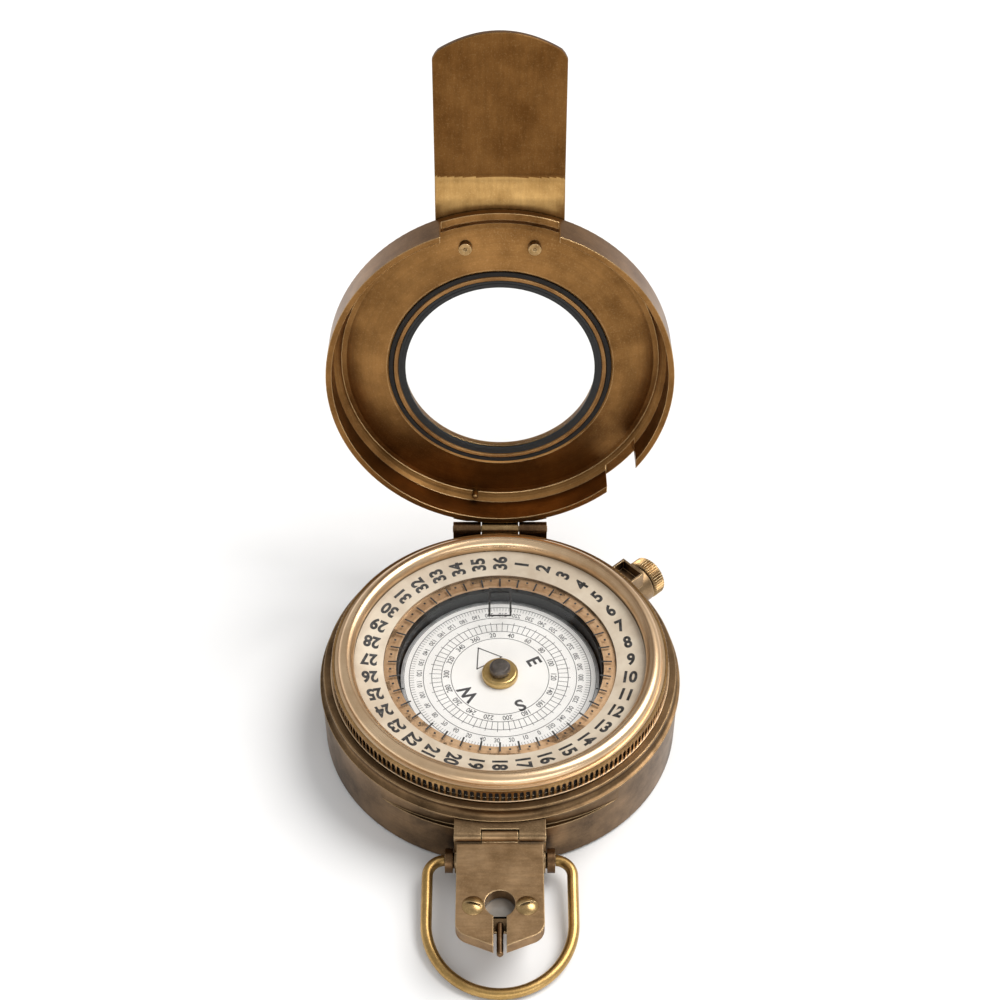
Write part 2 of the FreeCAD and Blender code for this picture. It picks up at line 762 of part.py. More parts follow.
def clamp_cutout():
    """Box that clears the clamp's pocket through the wall of the closed lid."""
    a = math.radians(clamp_turn)
    half = clamp_pocket_half * math.sin(a) + lug_clearance
    near, far = lid_inner * math.cos(a), (lid_outer + cut) * math.cos(a)
    x = ((near + clamp_pocket_near * math.cos(a)) / 2 - half, flange_radius * math.cos(a) + half)
    y = (near * math.tan(a) - 6.0, far * math.tan(a) + 6.0)
    return block(x, y, (lid_rim_z - cut, lid_back_z - lid_ridge_drop - 0.4))


def lid_shell():
    body = lid_outside().cut(lid_inside())
    body = body.cut(ring(0, window_clear_radius, lid_rim_z, lid_back_z + cut))
    body = body.cut(block((-lid_notch_half, lid_notch_half), (-lid_outer - cut, -lid_ridge_radius + 3.0),
                          (lid_rim_z - cut, lid_rim_z + lid_notch_depth)))
    body = body.cut(clamp_cutout())
    for side in (-1, 1):
        body = body.cut(rod(rivet_shank, (side * rivet_x, -rivet_y, lid_rim_z),
                            (side * rivet_x, -rivet_y, lid_back_z + cut)))
    body = body.cut(rod(stud_radius, (stud_x, stud_y, lid_rim_z), (stud_x, stud_y, lid_back_z - 0.3)))
    return opened(body)


def window_glass():
    return opened(ring(0, window_glass_radius, window_seat_z - window_glass_thickness, window_seat_z))


def window_ring():
    low = window_seat_z - window_ring_height
    return opened(turned([
        (window_ring_inner, window_seat_z), (window_ring_inner, low + 0.2), (window_ring_inner + 0.2, low),
        (window_ring_outer - 0.2, low), (window_ring_outer, low + 0.2), (window_ring_outer, window_seat_z),
    ]))


def window_gasket():
    glass_z = window_seat_z - window_glass_thickness
    return opened(ring(gasket_inner, window_ring_inner, glass_z - gasket_height, glass_z))


def lid_tongue():
    """Sight strip riveted to the lid's back, stepped away beyond the wall, with an arched end."""
    low, high = lid_back_z, lid_back_z + tongue_thickness
    step_start, step_end = lid_outer + tongue_step_start, lid_outer + tongue_step_end
    corner, crown = lid_outer + tongue_corner, lid_outer + tongue_crown
    strip = side_profile([
        (-tongue_root, low), (-tongue_root, high), (-step_start, high), (-step_end, high + tongue_step),
        (-crown - cut, high + tongue_step), (-crown - cut, low + tongue_step), (-step_end, low + tongue_step),
        (-step_start, low),
    ], tongue_half)
    r = tongue_corner_round
    shape = plate([
        (tongue_half, -tongue_root + cut), (-tongue_half, -tongue_root + cut), (-tongue_half, -corner + r),
        (-tongue_half + r, -corner - 0.5 * r, -tongue_half + 0.25 * r, -corner + 0.05 * r),
        (tongue_half - r, -corner - 0.5 * r, 0, -crown),
        (tongue_half, -corner + r, tongue_half - 0.25 * r, -corner + 0.05 * r),
    ], low - cut, high + tongue_step + cut)
    body = strip.common(shape)
    for side in (-1, 1):
        body = body.cut(rod(rivet_shank, (side * rivet_x, -rivet_y, low - cut),
                            (side * rivet_x, -rivet_y, high + cut)))
    return opened(body)


def tongue_rivets():
    """Two rivets through the strip and the lid, with a low head on each side."""
    floor_z = lid_back_z - lid_floor_at_window + 0.35
    back_z = lid_back_z + tongue_thickness
    shank = rod(rivet_shank, (rivet_x, -rivet_y, floor_z), (rivet_x, -rivet_y, back_z))
    inner_head = rod(rivet_head, (rivet_x, -rivet_y, floor_z - 0.55), (rivet_x, -rivet_y, floor_z + 0.4))
    inner_head = inner_head.cut(lid_outside().cut(lid_inside()))
    outer_head = rod(rivet_head + 0.15, (rivet_x, -rivet_y, back_z), (rivet_x, -rivet_y, back_z + 0.45))
    dimple = Part.makeSphere(0.4, V(rivet_x, -rivet_y, floor_z - 0.75))
    return opened(mirrored_pair(joined(shank, inner_head, outer_head).cut(dimple)))


def lid_stud():
    low = lid_back_z - 2.4
    high = lid_back_z - 0.3
    body = rod(stud_radius, (stud_x, stud_y, low), (stud_x, stud_y, high))
    return opened(body.makeFillet(0.3, [e for e in body.Edges if abs(e.CenterOfMass.z - low) < 1e-6]))


# ---------------------------------------------------------------- lid hinge
def across(radius, x, y, z):
    """Round bar along X between two places."""
    return rod(radius, (x[0], y, z), (x[1], y, z))


def lid_hinge_leaf():
    """Leaf on the lid's wall with the middle knuckle."""
    low, high = hinge_z + lid_leaf_low, hinge_z + lid_leaf_high
    leaf = block((-hinge_half, hinge_half), (0, lid_outer + leaf_thickness), (low, high)).cut(lid_outside())
    leaf = leaf.common(ring(0, lid_outer + leaf_thickness + 0.6, low, high))
    middle = (-hinge_middle_half, hinge_middle_half)
    web = block(middle, (hinge_y - knuckle_radius, hinge_y), (hinge_z, low + 0.2))
    body = joined(leaf.cut(block((-40, 40), (-40, 0), (0, 40))), web,
                  across(knuckle_radius, middle, hinge_y, hinge_z))
    body = body.cut(lid_outside())
    return opened(body.cut(across(hinge_pin_radius + run_fit, (-40, 40), hinge_y, hinge_z)))


def case_hinge_leaf():
    """Leaf on the case wall with the two outer knuckles."""
    low, high = hinge_z - case_leaf_low, hinge_z - case_leaf_high
    leaf = block((-hinge_half, hinge_half), (0, case_radius + leaf_thickness), (low, high))
    leaf = leaf.common(ring(0, case_radius + leaf_thickness + 0.6, low, high))
    parts = [leaf]
    for side in (-1, 1):
        span = sorted((side * (hinge_middle_half + hinge_side_gap), side * hinge_half))
        parts.append(block(span, (hinge_y - knuckle_radius, hinge_y), (high - 0.2, hinge_z)))
        parts.append(across(knuckle_radius, span, hinge_y, hinge_z))
    body = joined(*parts).cut(case_outside())
    body = body.cut(block((-40, 40), (-40, 0), (-1, 40)))
    return body.cut(across(hinge_pin_radius, (-40, 40), hinge_y, hinge_z))


def lid_hinge_pin():
    return across(hinge_pin_radius, (-hinge_half - 0.1, hinge_half + 0.1), hinge_y, hinge_z)


# ---------------------------------------------------------------- prism
def prism_bracket():
    """Bracket on the front wall: outer knuckles above, ears for the thumb ring below."""
    front = prism_y + 0.5
    slab = block((-bracket_half, bracket_half), (front, -case_radius + 4), (bracket_low_z, bracket_top_z))
    slab = slab.cut(case_body())
    slab = max(slab.Solids, key=lambda s: s.Volume)
    parts = [slab]
    for side in (-1, 1):
        span = sorted((side * (prism_middle_half + hinge_side_gap), side * bracket_half))
        parts.append(across(prism_knuckle, span, prism_y, prism_z))
        parts.append(block(span, (prism_y, front + 0.1), (prism_z - 0.7, prism_z + prism_knuckle)))
        ear = sorted((side * (bracket_half - ear_thickness), side * bracket_half))
        parts.append(across(ear_radius, ear, ring_y, ring_axis_z))
        parts.append(block(ear, (ring_y, front + 0.3), (ring_axis_z - ear_radius, ring_axis_z + ear_radius)))
    body = joined(*parts).cut(case_body())
    middle = (-prism_middle_half - hinge_side_gap, prism_middle_half + hinge_side_gap)
    body = body.cut(across(prism_knuckle + 0.2, middle, prism_y, prism_z))
    body = body.cut(across(ring_pin_radius + run_fit, (-40, 40), ring_y, ring_axis_z))
    return body.cut(across(prism_pin_radius, (-40, 40), prism_y, prism_z))


def prism_hinge_pin():
    return across(prism_pin_radius, (-bracket_half - 0.05, bracket_half + 0.05), prism_y, prism_z)


def prism_cover():
    """Cover plate with the keyhole sight, hung from the middle knuckle."""
    start = prism_y - cover_start
    corner = prism_y - cover_length_corner
    tip = prism_y - cover_length_tip
    r = cover_corner_round
    slope = (corner - tip) / (cover_half - keyhole_slot_half)
    shoulder = corner - slope * r
    outline = plate([
        (cover_half, start), (-cover_half, start), (-cover_half, corner + r),
        (-cover_half + r, shoulder, -cover_half + 0.32 * r, corner + 0.12 * r),
        (-keyhole_slot_half, tip), (keyhole_slot_half, tip), (cover_half - r, shoulder),
        (cover_half, corner + r, cover_half - 0.32 * r, corner + 0.12 * r),
    ], cover_low_z, cover_top_z)
    middle = (-prism_middle_half, prism_middle_half)
    web = block(middle, (start - 0.1, prism_y), (cover_low_z + 0.6, cover_top_z))
    body = joined(outline, web, across(prism_knuckle, middle, prism_y, prism_z))
    keyhole_y = prism_y - keyhole_reach
    hole = rod(keyhole_radius, (0, keyhole_y, cover_low_z - cut), (0, keyhole_y, cover_top_z + cut))
    slot = block((-keyhole_slot_half, keyhole_slot_half), (tip - cut, keyhole_y),
                 (cover_low_z - cut, cover_top_z + cut))
    body = body.cut(hole).cut(slot)
    for side in (-1, 1):
        x, y = side * cover_screw_x, prism_y - cover_screw_reach
        body = body.cut(rod(screw_shank, (x, y, cover_low_z - cut), (x, y, cover_top_z + cut)))
    return body.cut(across(prism_pin_radius + run_fit, (-40, 40), prism_y, prism_z))


def prism_outline(rear, leg, drop):
    """Right-angled section of the prism: one leg under the cover, one leg facing the hinge."""
    return [(rear, cover_low_z - drop), (rear - leg, cover_low_z - drop), (rear, cover_low_z - drop - leg)]


def prism_housing():
    """Wedge-shaped box below the cover, with a light window in its rear wall."""
    rear = prism_y - housing_rear
    skin = housing_skin
    low = cover_low_z - housing_leg
    front = rear - housing_leg - 2.4 * skin
    body = side_profile([(rear, cover_low_z), (front, cover_low_z), (front, cover_low_z - 0.5),
                         (rear - skin, low), (rear, low)], housing_half)
    inner_rear = rear - skin
    cavity = side_profile(prism_outline(inner_rear, prism_leg + 2 * prism_inset, -cut), housing_cavity_half)
    cavity = cavity.common(side_profile(
        [(inner_rear, cover_low_z + cut), (inner_rear - prism_leg - 0.4, cover_low_z + cut),
         (inner_rear - prism_leg - 0.4, low + 0.5), (inner_rear, low + 0.5)], housing_cavity_half))
    body = body.cut(cavity)
    body = body.cut(block((-prism_window_half, prism_window_half), (inner_rear - 0.5, rear + cut),
                          (cover_low_z - prism_leg + 2.0, cover_low_z - 1.2)))
    for side in (-1, 1):
        x, y = side * cover_screw_x, prism_y - cover_screw_reach
        body = body.cut(rod(screw_shank, (x, y, cover_top_z - cover_screw_length - 0.1), (x, y, cover_top_z)))
    return body


def prism_glass():
    rear = prism_y - housing_rear - housing_skin - prism_inset
    return side_profile(prism_outline(rear, prism_leg - 1.4, 0.15), housing_cavity_half - prism_inset)


def cover_screws():
    """Two domed slotted screws through the cover into the housing."""
    parts = []
    sphere_radius = (cover_screw_head ** 2 + cover_screw_dome ** 2) / (2 * cover_screw_dome)
    for side, slot_turn in ((-1, -12.0), (1, 18.0)):
        x, y = side * cover_screw_x, prism_y - cover_screw_reach
        dome = Part.makeSphere(sphere_radius, V(x, y, cover_top_z + cover_screw_dome - sphere_radius))
        dome = dome.common(rod(cover_screw_head, (x, y, cover_top_z), (x, y, cover_top_z + 2)))
        shank = rod(screw_shank, (x, y, cover_top_z - cover_screw_length), (x, y, cover_top_z + 0.1))
        slot = block((x - 3, x + 3), (y - cover_screw_slot / 2, y + cover_screw_slot / 2),
                     (cover_top_z + cover_screw_dome - 0.45, cover_top_z + 2))
        slot.rotate(V(x, y, 0), UP, slot_turn)
        parts.append(joined(dome, shank).cut(slot))
    return Part.makeCompound(parts)


def sight_wire():
    """Round-ended wire lying on the housing in the keyhole's slot."""
    start = prism_y - sight_wire_reach
    end = prism_y - cover_length_tip - sight_wire_overhang
    z = cover_low_z + sight_wire_radius
    body = rod(sight_wire_radius, (0, start, z), (0, end, z))
    return joined(body, Part.makeSphere(sight_wire_radius, V(0, start, z)),
                  Part.makeSphere(sight_wire_radius, V(0, end, z)))


# ---------------------------------------------------------------- thumb ring
def ring_collars():
    """Flanged bushes beside the ears, which the ring's ends turn in."""
    start = bracket_half
    neck_end = start + collar_neck
    end = neck_end + collar_length
    body = joined(across(collar_neck_radius, (start, neck_end + 0.1), ring_y, ring_axis_z),
                  across(collar_radius, (neck_end, end), ring_y, ring_axis_z))
    return mirrored_pair(body.cut(across(ring_pin_radius + run_fit, (0, 40), ring_y, ring_axis_z)))


def thumb_ring():
    """D-shaped ring of round wire with thinner ends that turn in the collars."""
    inner_x = bracket_half + collar_neck + collar_length + collar_gap
    bend_centre_x = ring_half - ring_bend
    arc_centre = ring_length - ring_half

    def at(x, reach):
        return V(x, ring_y - reach, ring_axis_z)

    corner = 1 - math.sqrt(0.5)
    edges = [
        Part.makeLine(at(inner_x, 0), at(bend_centre_x, 0)) if bend_centre_x > inner_x + 0.01 else None,
        Part.Arc(at(bend_centre_x, 0), at(ring_half - corner * ring_bend, corner * ring_bend),
                 at(ring_half, ring_bend)).toShape(),
        Part.makeLine(at(ring_half, ring_bend), at(ring_half, arc_centre)),
        Part.Arc(at(ring_half, arc_centre), at(0, ring_length), at(-ring_half, arc_centre)).toShape(),
        Part.makeLine(at(-ring_half, arc_centre), at(-ring_half, ring_bend)),
        Part.Arc(at(-ring_half, ring_bend), at(-ring_half + corner * ring_bend, corner * ring_bend),
                 at(-bend_centre_x, 0)).toShape(),
        Part.makeLine(at(-bend_centre_x, 0), at(-inner_x, 0)) if bend_centre_x > inner_x + 0.01 else None,
    ]
    path = Part.Wire([e for e in edges if e])
    first = path.Edges[0].Vertexes[0].Point
    section = Part.Wire([Part.makeCircle(ring_wire, first, ACROSS)])
    body = path.makePipeShell([section], True, False)
    pin = across(ring_pin_radius, (bracket_half - ear_thickness, inner_x + 0.3), ring_y, ring_axis_z)
    body = joined(body, pin, pin.mirror(CENTRE, ACROSS))
    body.rotate(V(0, ring_y, ring_axis_z), ACROSS, ring_rest_angle)
    return body


NODES = {
    "case_body": case_body,
    "base_cover": base_cover,
    "base_cover_screws": base_cover_screws,
    "card_chamber": card_chamber,
    "chamber_screws": chamber_screws,
    "pivot_post": pivot_post,
    "pivot_pin": pivot_pin,
    "compass_card": compass_card,
    "card_rim": card_rim,
    "card_hub": card_hub,
    "cap_jewel": cap_jewel,
    "jewel_cap": jewel_cap,
    "card_magnets": card_magnets,
    "card_lifter": card_lifter,
    "lifter_lever": lifter_lever,
    "lever_pin": lever_pin,
    "arrest_pin": arrest_pin,
    "arrest_spring": arrest_spring,
    "bezel_ring": bezel_ring,
    "number_ring": number_ring,
    "tick_ring": tick_ring,
    "bezel_glass": bezel_glass,
    "bezel_snap_ring": bezel_snap_ring,
    "clamp_lug": clamp_lug,
    "clamp_shoe": clamp_shoe,
    "clamp_screw": clamp_screw,
    "lid_shell": lid_shell,
    "window_glass": window_glass,
    "window_ring": window_ring,
    "window_gasket": window_gasket,
    "lid_tongue": lid_tongue,
    "tongue_rivets": tongue_rivets,
    "lid_stud": lid_stud,
    "lid_hinge_leaf": lid_hinge_leaf,
    "case_hinge_leaf": case_hinge_leaf,
    "lid_hinge_pin": lid_hinge_pin,
    "prism_bracket": prism_bracket,
    "prism_hinge_pin": prism_hinge_pin,
    "prism_cover": prism_cover,
    "prism_housing": prism_housing,
    "prism_glass": prism_glass,
    "cover_screws": cover_screws,
    "sight_wire": sight_wire,
    "ring_collars": ring_collars,
    "thumb_ring": thumb_ring,
}

os.makedirs("parts", exist_ok=True)
for name, build in NODES.items():
    shape = build()
    if not shape.isValid():
        raise ValueError(name + " is not a valid shape")
    shape.exportStep("parts/" + name + ".step")
    print("%-20s solids %d  volume %9.3f" % (name, len(shape.Solids), shape.Volume))
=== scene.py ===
import math
import bpy
import bmesh
from mathutils import Matrix, Vector, noise


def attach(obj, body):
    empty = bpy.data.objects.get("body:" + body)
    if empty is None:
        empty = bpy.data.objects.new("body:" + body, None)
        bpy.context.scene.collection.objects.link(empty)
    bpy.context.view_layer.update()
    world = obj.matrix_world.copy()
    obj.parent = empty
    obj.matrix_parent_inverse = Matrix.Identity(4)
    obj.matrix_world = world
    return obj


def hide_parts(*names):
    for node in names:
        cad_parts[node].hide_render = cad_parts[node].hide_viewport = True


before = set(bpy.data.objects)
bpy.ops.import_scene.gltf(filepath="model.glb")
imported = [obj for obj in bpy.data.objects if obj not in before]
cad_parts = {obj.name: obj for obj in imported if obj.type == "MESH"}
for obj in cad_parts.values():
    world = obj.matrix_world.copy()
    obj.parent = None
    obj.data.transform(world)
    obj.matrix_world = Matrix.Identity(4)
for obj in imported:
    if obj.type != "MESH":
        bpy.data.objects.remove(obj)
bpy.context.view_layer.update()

# ---------------------------------------------------------------- Case
# The round body is turned from brass bar, then chemically darkened. A thin lip and a hollow
# cove run round its top, and the front of the wall is milled back in a shallow arc.
MM = 0.001
CASE_DEEP = (0.060, 0.036, 0.018)
CASE_PALE = (0.280, 0.170, 0.083)
CASE_WORN = (0.62, 0.42, 0.22)


def add(tree, kind, inputs=(), **settings):
    """Adds a shader or geometry node, sets its options, and feeds its inputs with values or sockets."""
    made = tree.nodes.new(kind)
    for key, value in settings.items():
        setattr(made, key, value)
    for key, value in dict(inputs).items():
        if isinstance(value, bpy.types.NodeSocket):
            tree.links.new(value, made.inputs[key])
        else:
            made.inputs[key].default_value = value
    return made


def ramp(tree, fac, stops):
    """Colour ramp from (place, colour) stops."""
    made = add(tree, "ShaderNodeValToRGB", {"Fac": fac})
    while len(made.color_ramp.elements) < len(stops):
        made.color_ramp.elements.new(0.5)
    for element, (place, colour) in zip(made.color_ramp.elements, stops):
        element.position = place
        element.color = (*colour, 1.0) if isinstance(colour, tuple) else (colour, colour, colour, 1.0)
    return made.outputs["Color"]


def own_place(tree):
    """The piece's own coordinates."""
    return add(tree, "ShaderNodeTexCoord").outputs["Object"]


def cloud(tree, spot, fineness, detail, roughness=0.5):
    """Soft noise in metres: a larger fineness gives smaller patches."""
    return add(tree, "ShaderNodeTexNoise", {"Vector": spot, "Scale": fineness, "Detail": detail,
                                            "Roughness": roughness}).outputs["Fac"]


def mix(tree, share, under, over, way="MIX"):
    """Blends two colours."""
    return add(tree, "ShaderNodeMix", {"Factor": share, 6: under, 7: over}, data_type="RGBA",
               blend_type=way).outputs[2]


def maths(tree, way, *terms, clamp=False):
    """One sum on numbers or sockets."""
    return add(tree, "ShaderNodeMath", dict(enumerate(terms)), operation=way, use_clamp=clamp).outputs[0]


def roughen(tree, shader, height, strength, depth, normal=None):
    """Bump of a depth in millimetres."""
    feed = {"Height": height, "Strength": strength, "Distance": depth * MM}
    if normal is not None:
        feed["Normal"] = normal
    tree.links.new(add(tree, "ShaderNodeBump", feed).outputs["Normal"], shader.inputs["Normal"])


def blank_finish(name):
    """An empty material, its tree and its main shader."""
    made = bpy.data.materials.new(name)
    made.use_nodes = True
    tree = made.node_tree
    return made, tree, tree.nodes["Principled BSDF"]


def lathe_lines(tree, centre, tilt, fineness):
    """Fine rings round an axis, as a turning tool leaves them."""
    spot = add(tree, "ShaderNodeMapping", {"Vector": own_place(tree), "Location": centre,
                                           "Rotation": tilt}).outputs["Vector"]
    parts = add(tree, "ShaderNodeSeparateXYZ", {"Vector": spot})
    flat = add(tree, "ShaderNodeCombineXYZ", {"X": parts.outputs["X"], "Y": parts.outputs["Y"]}).outputs["Vector"]
    reach = add(tree, "ShaderNodeVectorMath", {0: flat}, operation="LENGTH").outputs["Value"]
    line = add(tree, "ShaderNodeCombineXYZ", {"X": reach, "Y": parts.outputs["Z"]}).outputs["Vector"]
    return cloud(tree, line, fineness, 6.0, 0.7)


def drawn_lines(tree, squeeze, fineness):
    """Fine straight lines, as a belt or a file leaves them. squeeze is small along the lines."""
    spot = add(tree, "ShaderNodeMapping", {"Vector": own_place(tree), "Scale": squeeze}).outputs["Vector"]
    return cloud(tree, spot, fineness, 5.0, 0.65)


def aged_brass(name, deep, pale, worn, rough=(0.30, 0.52), blotch=170.0, lines=None, line_depth=0.25,
               edge=0.16, wear=0.75, shade_and_dirt=0.6, pits=0.12):
    """Darkened brass: blotched patina, tool marks, rubbed bright edges, and painted shade with dirt in the corners."""
    made, tree, metal = blank_finish(name)
    metal.inputs["Metallic"].default_value = 1.0
    spot = own_place(tree)
    patches = cloud(tree, spot, blotch, 9.0, 0.62)
    grain = cloud(tree, spot, 3800.0, 3.0, 0.6)
    marks = lines(tree) if lines else grain
    # Patina in blotches, with lighter dust and the streaks of the tool.
    halfway = tuple((a + b) / 2 for a, b in zip(pale, worn))
    colour = ramp(tree, patches, [(0.30, deep), (0.70, pale)])
    colour = mix(tree, ramp(tree, grain, [(0.54, 0.0), (0.80, 0.28)]), colour, (*halfway, 1.0))
    colour = mix(tree, 0.55, colour, ramp(tree, marks, [(0.35, 0.80), (0.65, 1.16)]), "MULTIPLY")
    # Painted shade and dirt: the AO node darkens the colour in the hollows and where other parts or the floor come
    # near.
    hollow = add(tree, "ShaderNodeAmbientOcclusion", {"Distance": 1.3 * MM}, samples=4, only_local=False).outputs["AO"]
    colour = mix(tree, 1.0, colour, ramp(tree, hollow, [(0.25, 1.0 - shade_and_dirt), (0.85, 1.0)]), "MULTIPLY")
    # Edges are rubbed bright, where the softened normal leaves the face's own.
    soft = add(tree, "ShaderNodeBevel", {"Radius": edge * MM}, samples=4).outputs["Normal"]
    face = add(tree, "ShaderNodeNewGeometry").outputs["Normal"]
    bent = add(tree, "ShaderNodeVectorMath", {0: soft, 1: face}, operation="DOT_PRODUCT").outputs["Value"]
    turn = maths(tree, "SUBTRACT", 1.0, bent, clamp=True)
    rub = maths(tree, "MULTIPLY", turn, ramp(tree, patches, [(0.25, 3.0 * wear), (0.7, 9.0 * wear)]), clamp=True)
    tree.links.new(mix(tree, rub, colour, (*worn, 1.0)), metal.inputs["Base Color"])
    dull = ramp(tree, patches, [(0.30, rough[1]), (0.72, rough[0])])
    dull = mix(tree, 0.35, dull, ramp(tree, marks, [(0.3, rough[0]), (0.7, rough[1])]))
    dull = mix(tree, rub, dull, (rough[0], rough[0], rough[0], 1.0))
    tree.links.new(dull, metal.inputs["Roughness"])
    # Relief: tool marks, small pits and fine grain.
    specks = add(tree, "ShaderNodeTexVoronoi", {"Vector": spot, "Scale": 1500.0}).outputs["Distance"]
    relief = maths(tree, "ADD", maths(tree, "MULTIPLY", marks, line_depth),
                   ramp(tree, specks, [(0.05, 1.0 - pits), (0.3, 1.0)]))
    relief = maths(tree, "ADD", relief, maths(tree, "MULTIPLY", grain, 0.12))
    roughen(tree, metal, relief, 0.35, 0.03, soft)
    return made


def dress(material, *nodes):
    """Gives CAD nodes a finish."""
    for name in nodes:
        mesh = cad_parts[name].data
        for i in range(len(mesh.materials)):
            mesh.materials[i] = material


def turned_case(tree):
    return lathe_lines(tree, (0.0, 0.0, 0.0), (0.0, 0.0, 0.0), 2600.0)


case_brass = aged_brass("case_brass", CASE_DEEP, CASE_PALE, CASE_WORN, rough=(0.30, 0.50), blotch=120.0,
                        lines=turned_case, line_depth=0.5, edge=0.22, wear=1.1, shade_and_dirt=0.85)
dress(case_brass, "case_body")

# ---------------------------------------------------------------- Base cover
# A turned disc closes the recess under the case, and three countersunk slotted screws hold it.
# It is the same brass as the case, rubbed brighter where it slides on maps and tables.
rubbed_brass = aged_brass("rubbed_brass", (0.16, 0.105, 0.055), (0.42, 0.29, 0.155), (0.72, 0.52, 0.29),
                          rough=(0.26, 0.44), blotch=140.0, lines=turned_case, line_depth=0.6, edge=0.15)
screw_brass = aged_brass("screw_brass", (0.24, 0.16, 0.075), (0.56, 0.40, 0.20), (0.85, 0.66, 0.38),
                         rough=(0.22, 0.38), blotch=600.0, edge=0.12, wear=0.9, shade_and_dirt=0.7)
dress(rubbed_brass, "base_cover")
dress(screw_brass, "base_cover_screws")

# ---------------------------------------------------------------- Card chamber and pivot
# A brass cup painted matt black lines the inside of the case, so no light reflects round the card.
# A brass post in its middle carries a hardened steel pin, ground to a point.


def matt_black(name, tone, sheen_rough):
    """Matt black paint over metal, a little chalky and faintly brushed round. Also used as painted shade in the bezel's
    slot roots and the window's groove.
    """
    made, tree, paint = blank_finish(name)
    chalk = cloud(tree, own_place(tree), 900.0, 6.0)
    lines = lathe_lines(tree, (0.0, 0.0, 0.0), (0.0, 0.0, 0.0), 1800.0)
    tree.links.new(ramp(tree, chalk, [(0.3, tuple(0.7 * c for c in tone)), (0.7, tuple(1.5 * c for c in tone))]),
                   paint.inputs["Base Color"])
    tree.links.new(ramp(tree, lines, [(0.3, sheen_rough), (0.7, sheen_rough + 0.18)]), paint.inputs["Roughness"])
    roughen(tree, paint, chalk, 0.25, 0.03)
    return made


def ground_steel(name, tone, rough):
    """Bare steel with fine grinding marks and a few darker stains."""
    made, tree, steel = blank_finish(name)
    steel.inputs["Metallic"].default_value = 1.0
    marks = drawn_lines(tree, (1.0, 1.0, 6.0), 1500.0)
    stain = cloud(tree, own_place(tree), 300.0, 7.0)
    tree.links.new(ramp(tree, stain, [(0.35, tuple(0.6 * c for c in tone)), (0.6, tone)]), steel.inputs["Base Color"])
    tree.links.new(ramp(tree, marks, [(0.3, rough), (0.7, rough + 0.15)]), steel.inputs["Roughness"])
    roughen(tree, steel, marks, 0.3, 0.02)
    return made


chamber_black = matt_black("chamber_black", (0.011, 0.011, 0.011), 0.5)
bright_steel = ground_steel("bright_steel", (0.52, 0.52, 0.54), 0.22)
dress(chamber_black, "card_chamber")
dress(bright_steel, "chamber_screws", "pivot_pin")
dress(screw_brass, "pivot_post")

# ---------------------------------------------------------------- Card lifter
# Closing the lid presses a brass pin in the flange. The pin tips a lever under the chamber, and the
# lever raises a cup that lifts the card off its point. A small coil spring returns the pin.
dress(screw_brass, "card_lifter", "lifter_lever", "arrest_pin")
dress(bright_steel, "lever_pin", "arrest_spring", "bezel_snap_ring")

# ---------------------------------------------------------------- Card
# A thin white disc with a metal rim floats on the pivot. It is printed in grey: a mirrored outer
# scale that is read through the prism, and an inner scale and letters that are read from above.
CARD_TOP = 12.0 * MM
CARD_NORTH = math.radians(118.0)
PRINT_LIFT = 0.012 * MM
PRINT_THICK = 0.012 * MM
LINE_WIDTH = 0.12 * MM


def printed_card():
    """Slightly warm white enamel, with faint unevenness."""
    made, tree, enamel = blank_finish("card_enamel")
    spot = own_place(tree)
    patch = cloud(tree, spot, 220.0, 6.0)
    fine = cloud(tree, spot, 2400.0, 3.0)
    tone = ramp(tree, patch, [(0.3, (0.90, 0.885, 0.87)), (0.65, (0.97, 0.955, 0.94))])
    tree.links.new(tone, enamel.inputs["Base Color"])
    tree.links.new(ramp(tree, fine, [(0.3, 0.38), (0.7, 0.55)]), enamel.inputs["Roughness"])
    roughen(tree, enamel, fine, 0.12, 0.02)
    return made


def ink(name, tone, spread=0.35):
    """Printing ink or paint fill, a little uneven in strength."""
    made, tree, fluid = blank_finish(name)
    patch = cloud(tree, own_place(tree), 1400.0, 5.0)
    thin = tuple(c + spread * (0.5 - c) * 0.35 for c in tone)
    tree.links.new(ramp(tree, patch, [(0.4, tone), (0.75, thin)]), fluid.inputs["Base Color"])
    tree.links.new(ramp(tree, patch, [(0.3, 0.42), (0.7, 0.62)]), fluid.inputs["Roughness"])
    roughen(tree, fluid, patch, 0.2, 0.01)
    return made


def piece(name, form, body, *materials, slot=None, stands_for=()):
    """Makes an object from a bmesh or mesh, with smooth curves and sharp corners, riding on a CAD body."""
    if isinstance(form, bmesh.types.BMesh):
        mesh = bpy.data.meshes.new(name)
        bmesh.ops.recalc_face_normals(form, faces=form.faces)
        form.to_mesh(mesh)
        form.free()
    else:
        mesh = form
        mesh.materials.clear()
    for material in materials:
        mesh.materials.append(material)
    made = bpy.data.objects.new(name, mesh)
    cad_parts["case_body"].users_collection[0].objects.link(made)
    mesh.shade_smooth()
    mesh.set_sharp_from_angle(angle=math.radians(32.0))
    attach(made, body)
    if stands_for:
        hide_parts(*stands_for)
    return made


def band(form, inner, outer, low, high, steps=180, material=0):
    """Adds a closed flat ring to a bmesh."""
    rings = []
    for radius, z in ((inner, low), (outer, low), (outer, high), (inner, high)):
        rings.append([form.verts.new((radius * math.cos(a), radius * math.sin(a), z))
                      for a in (2 * math.pi * i / steps for i in range(steps))])
    for ring_a, ring_b in zip(rings, rings[1:] + rings[:1]):
        for i in range(steps):
            j = (i + 1) % steps
            form.faces.new((ring_a[i], ring_a[j], ring_b[j], ring_b[i])).material_index = material


def bar(form, place, length, width, thick):
    """Adds a thin bar along the place's local X axis."""
    made = bmesh.ops.create_cube(form, size=1.0)["verts"]
    bmesh.ops.scale(form, vec=(length, width, thick), verts=made)
    bmesh.ops.transform(form, matrix=place, verts=made)


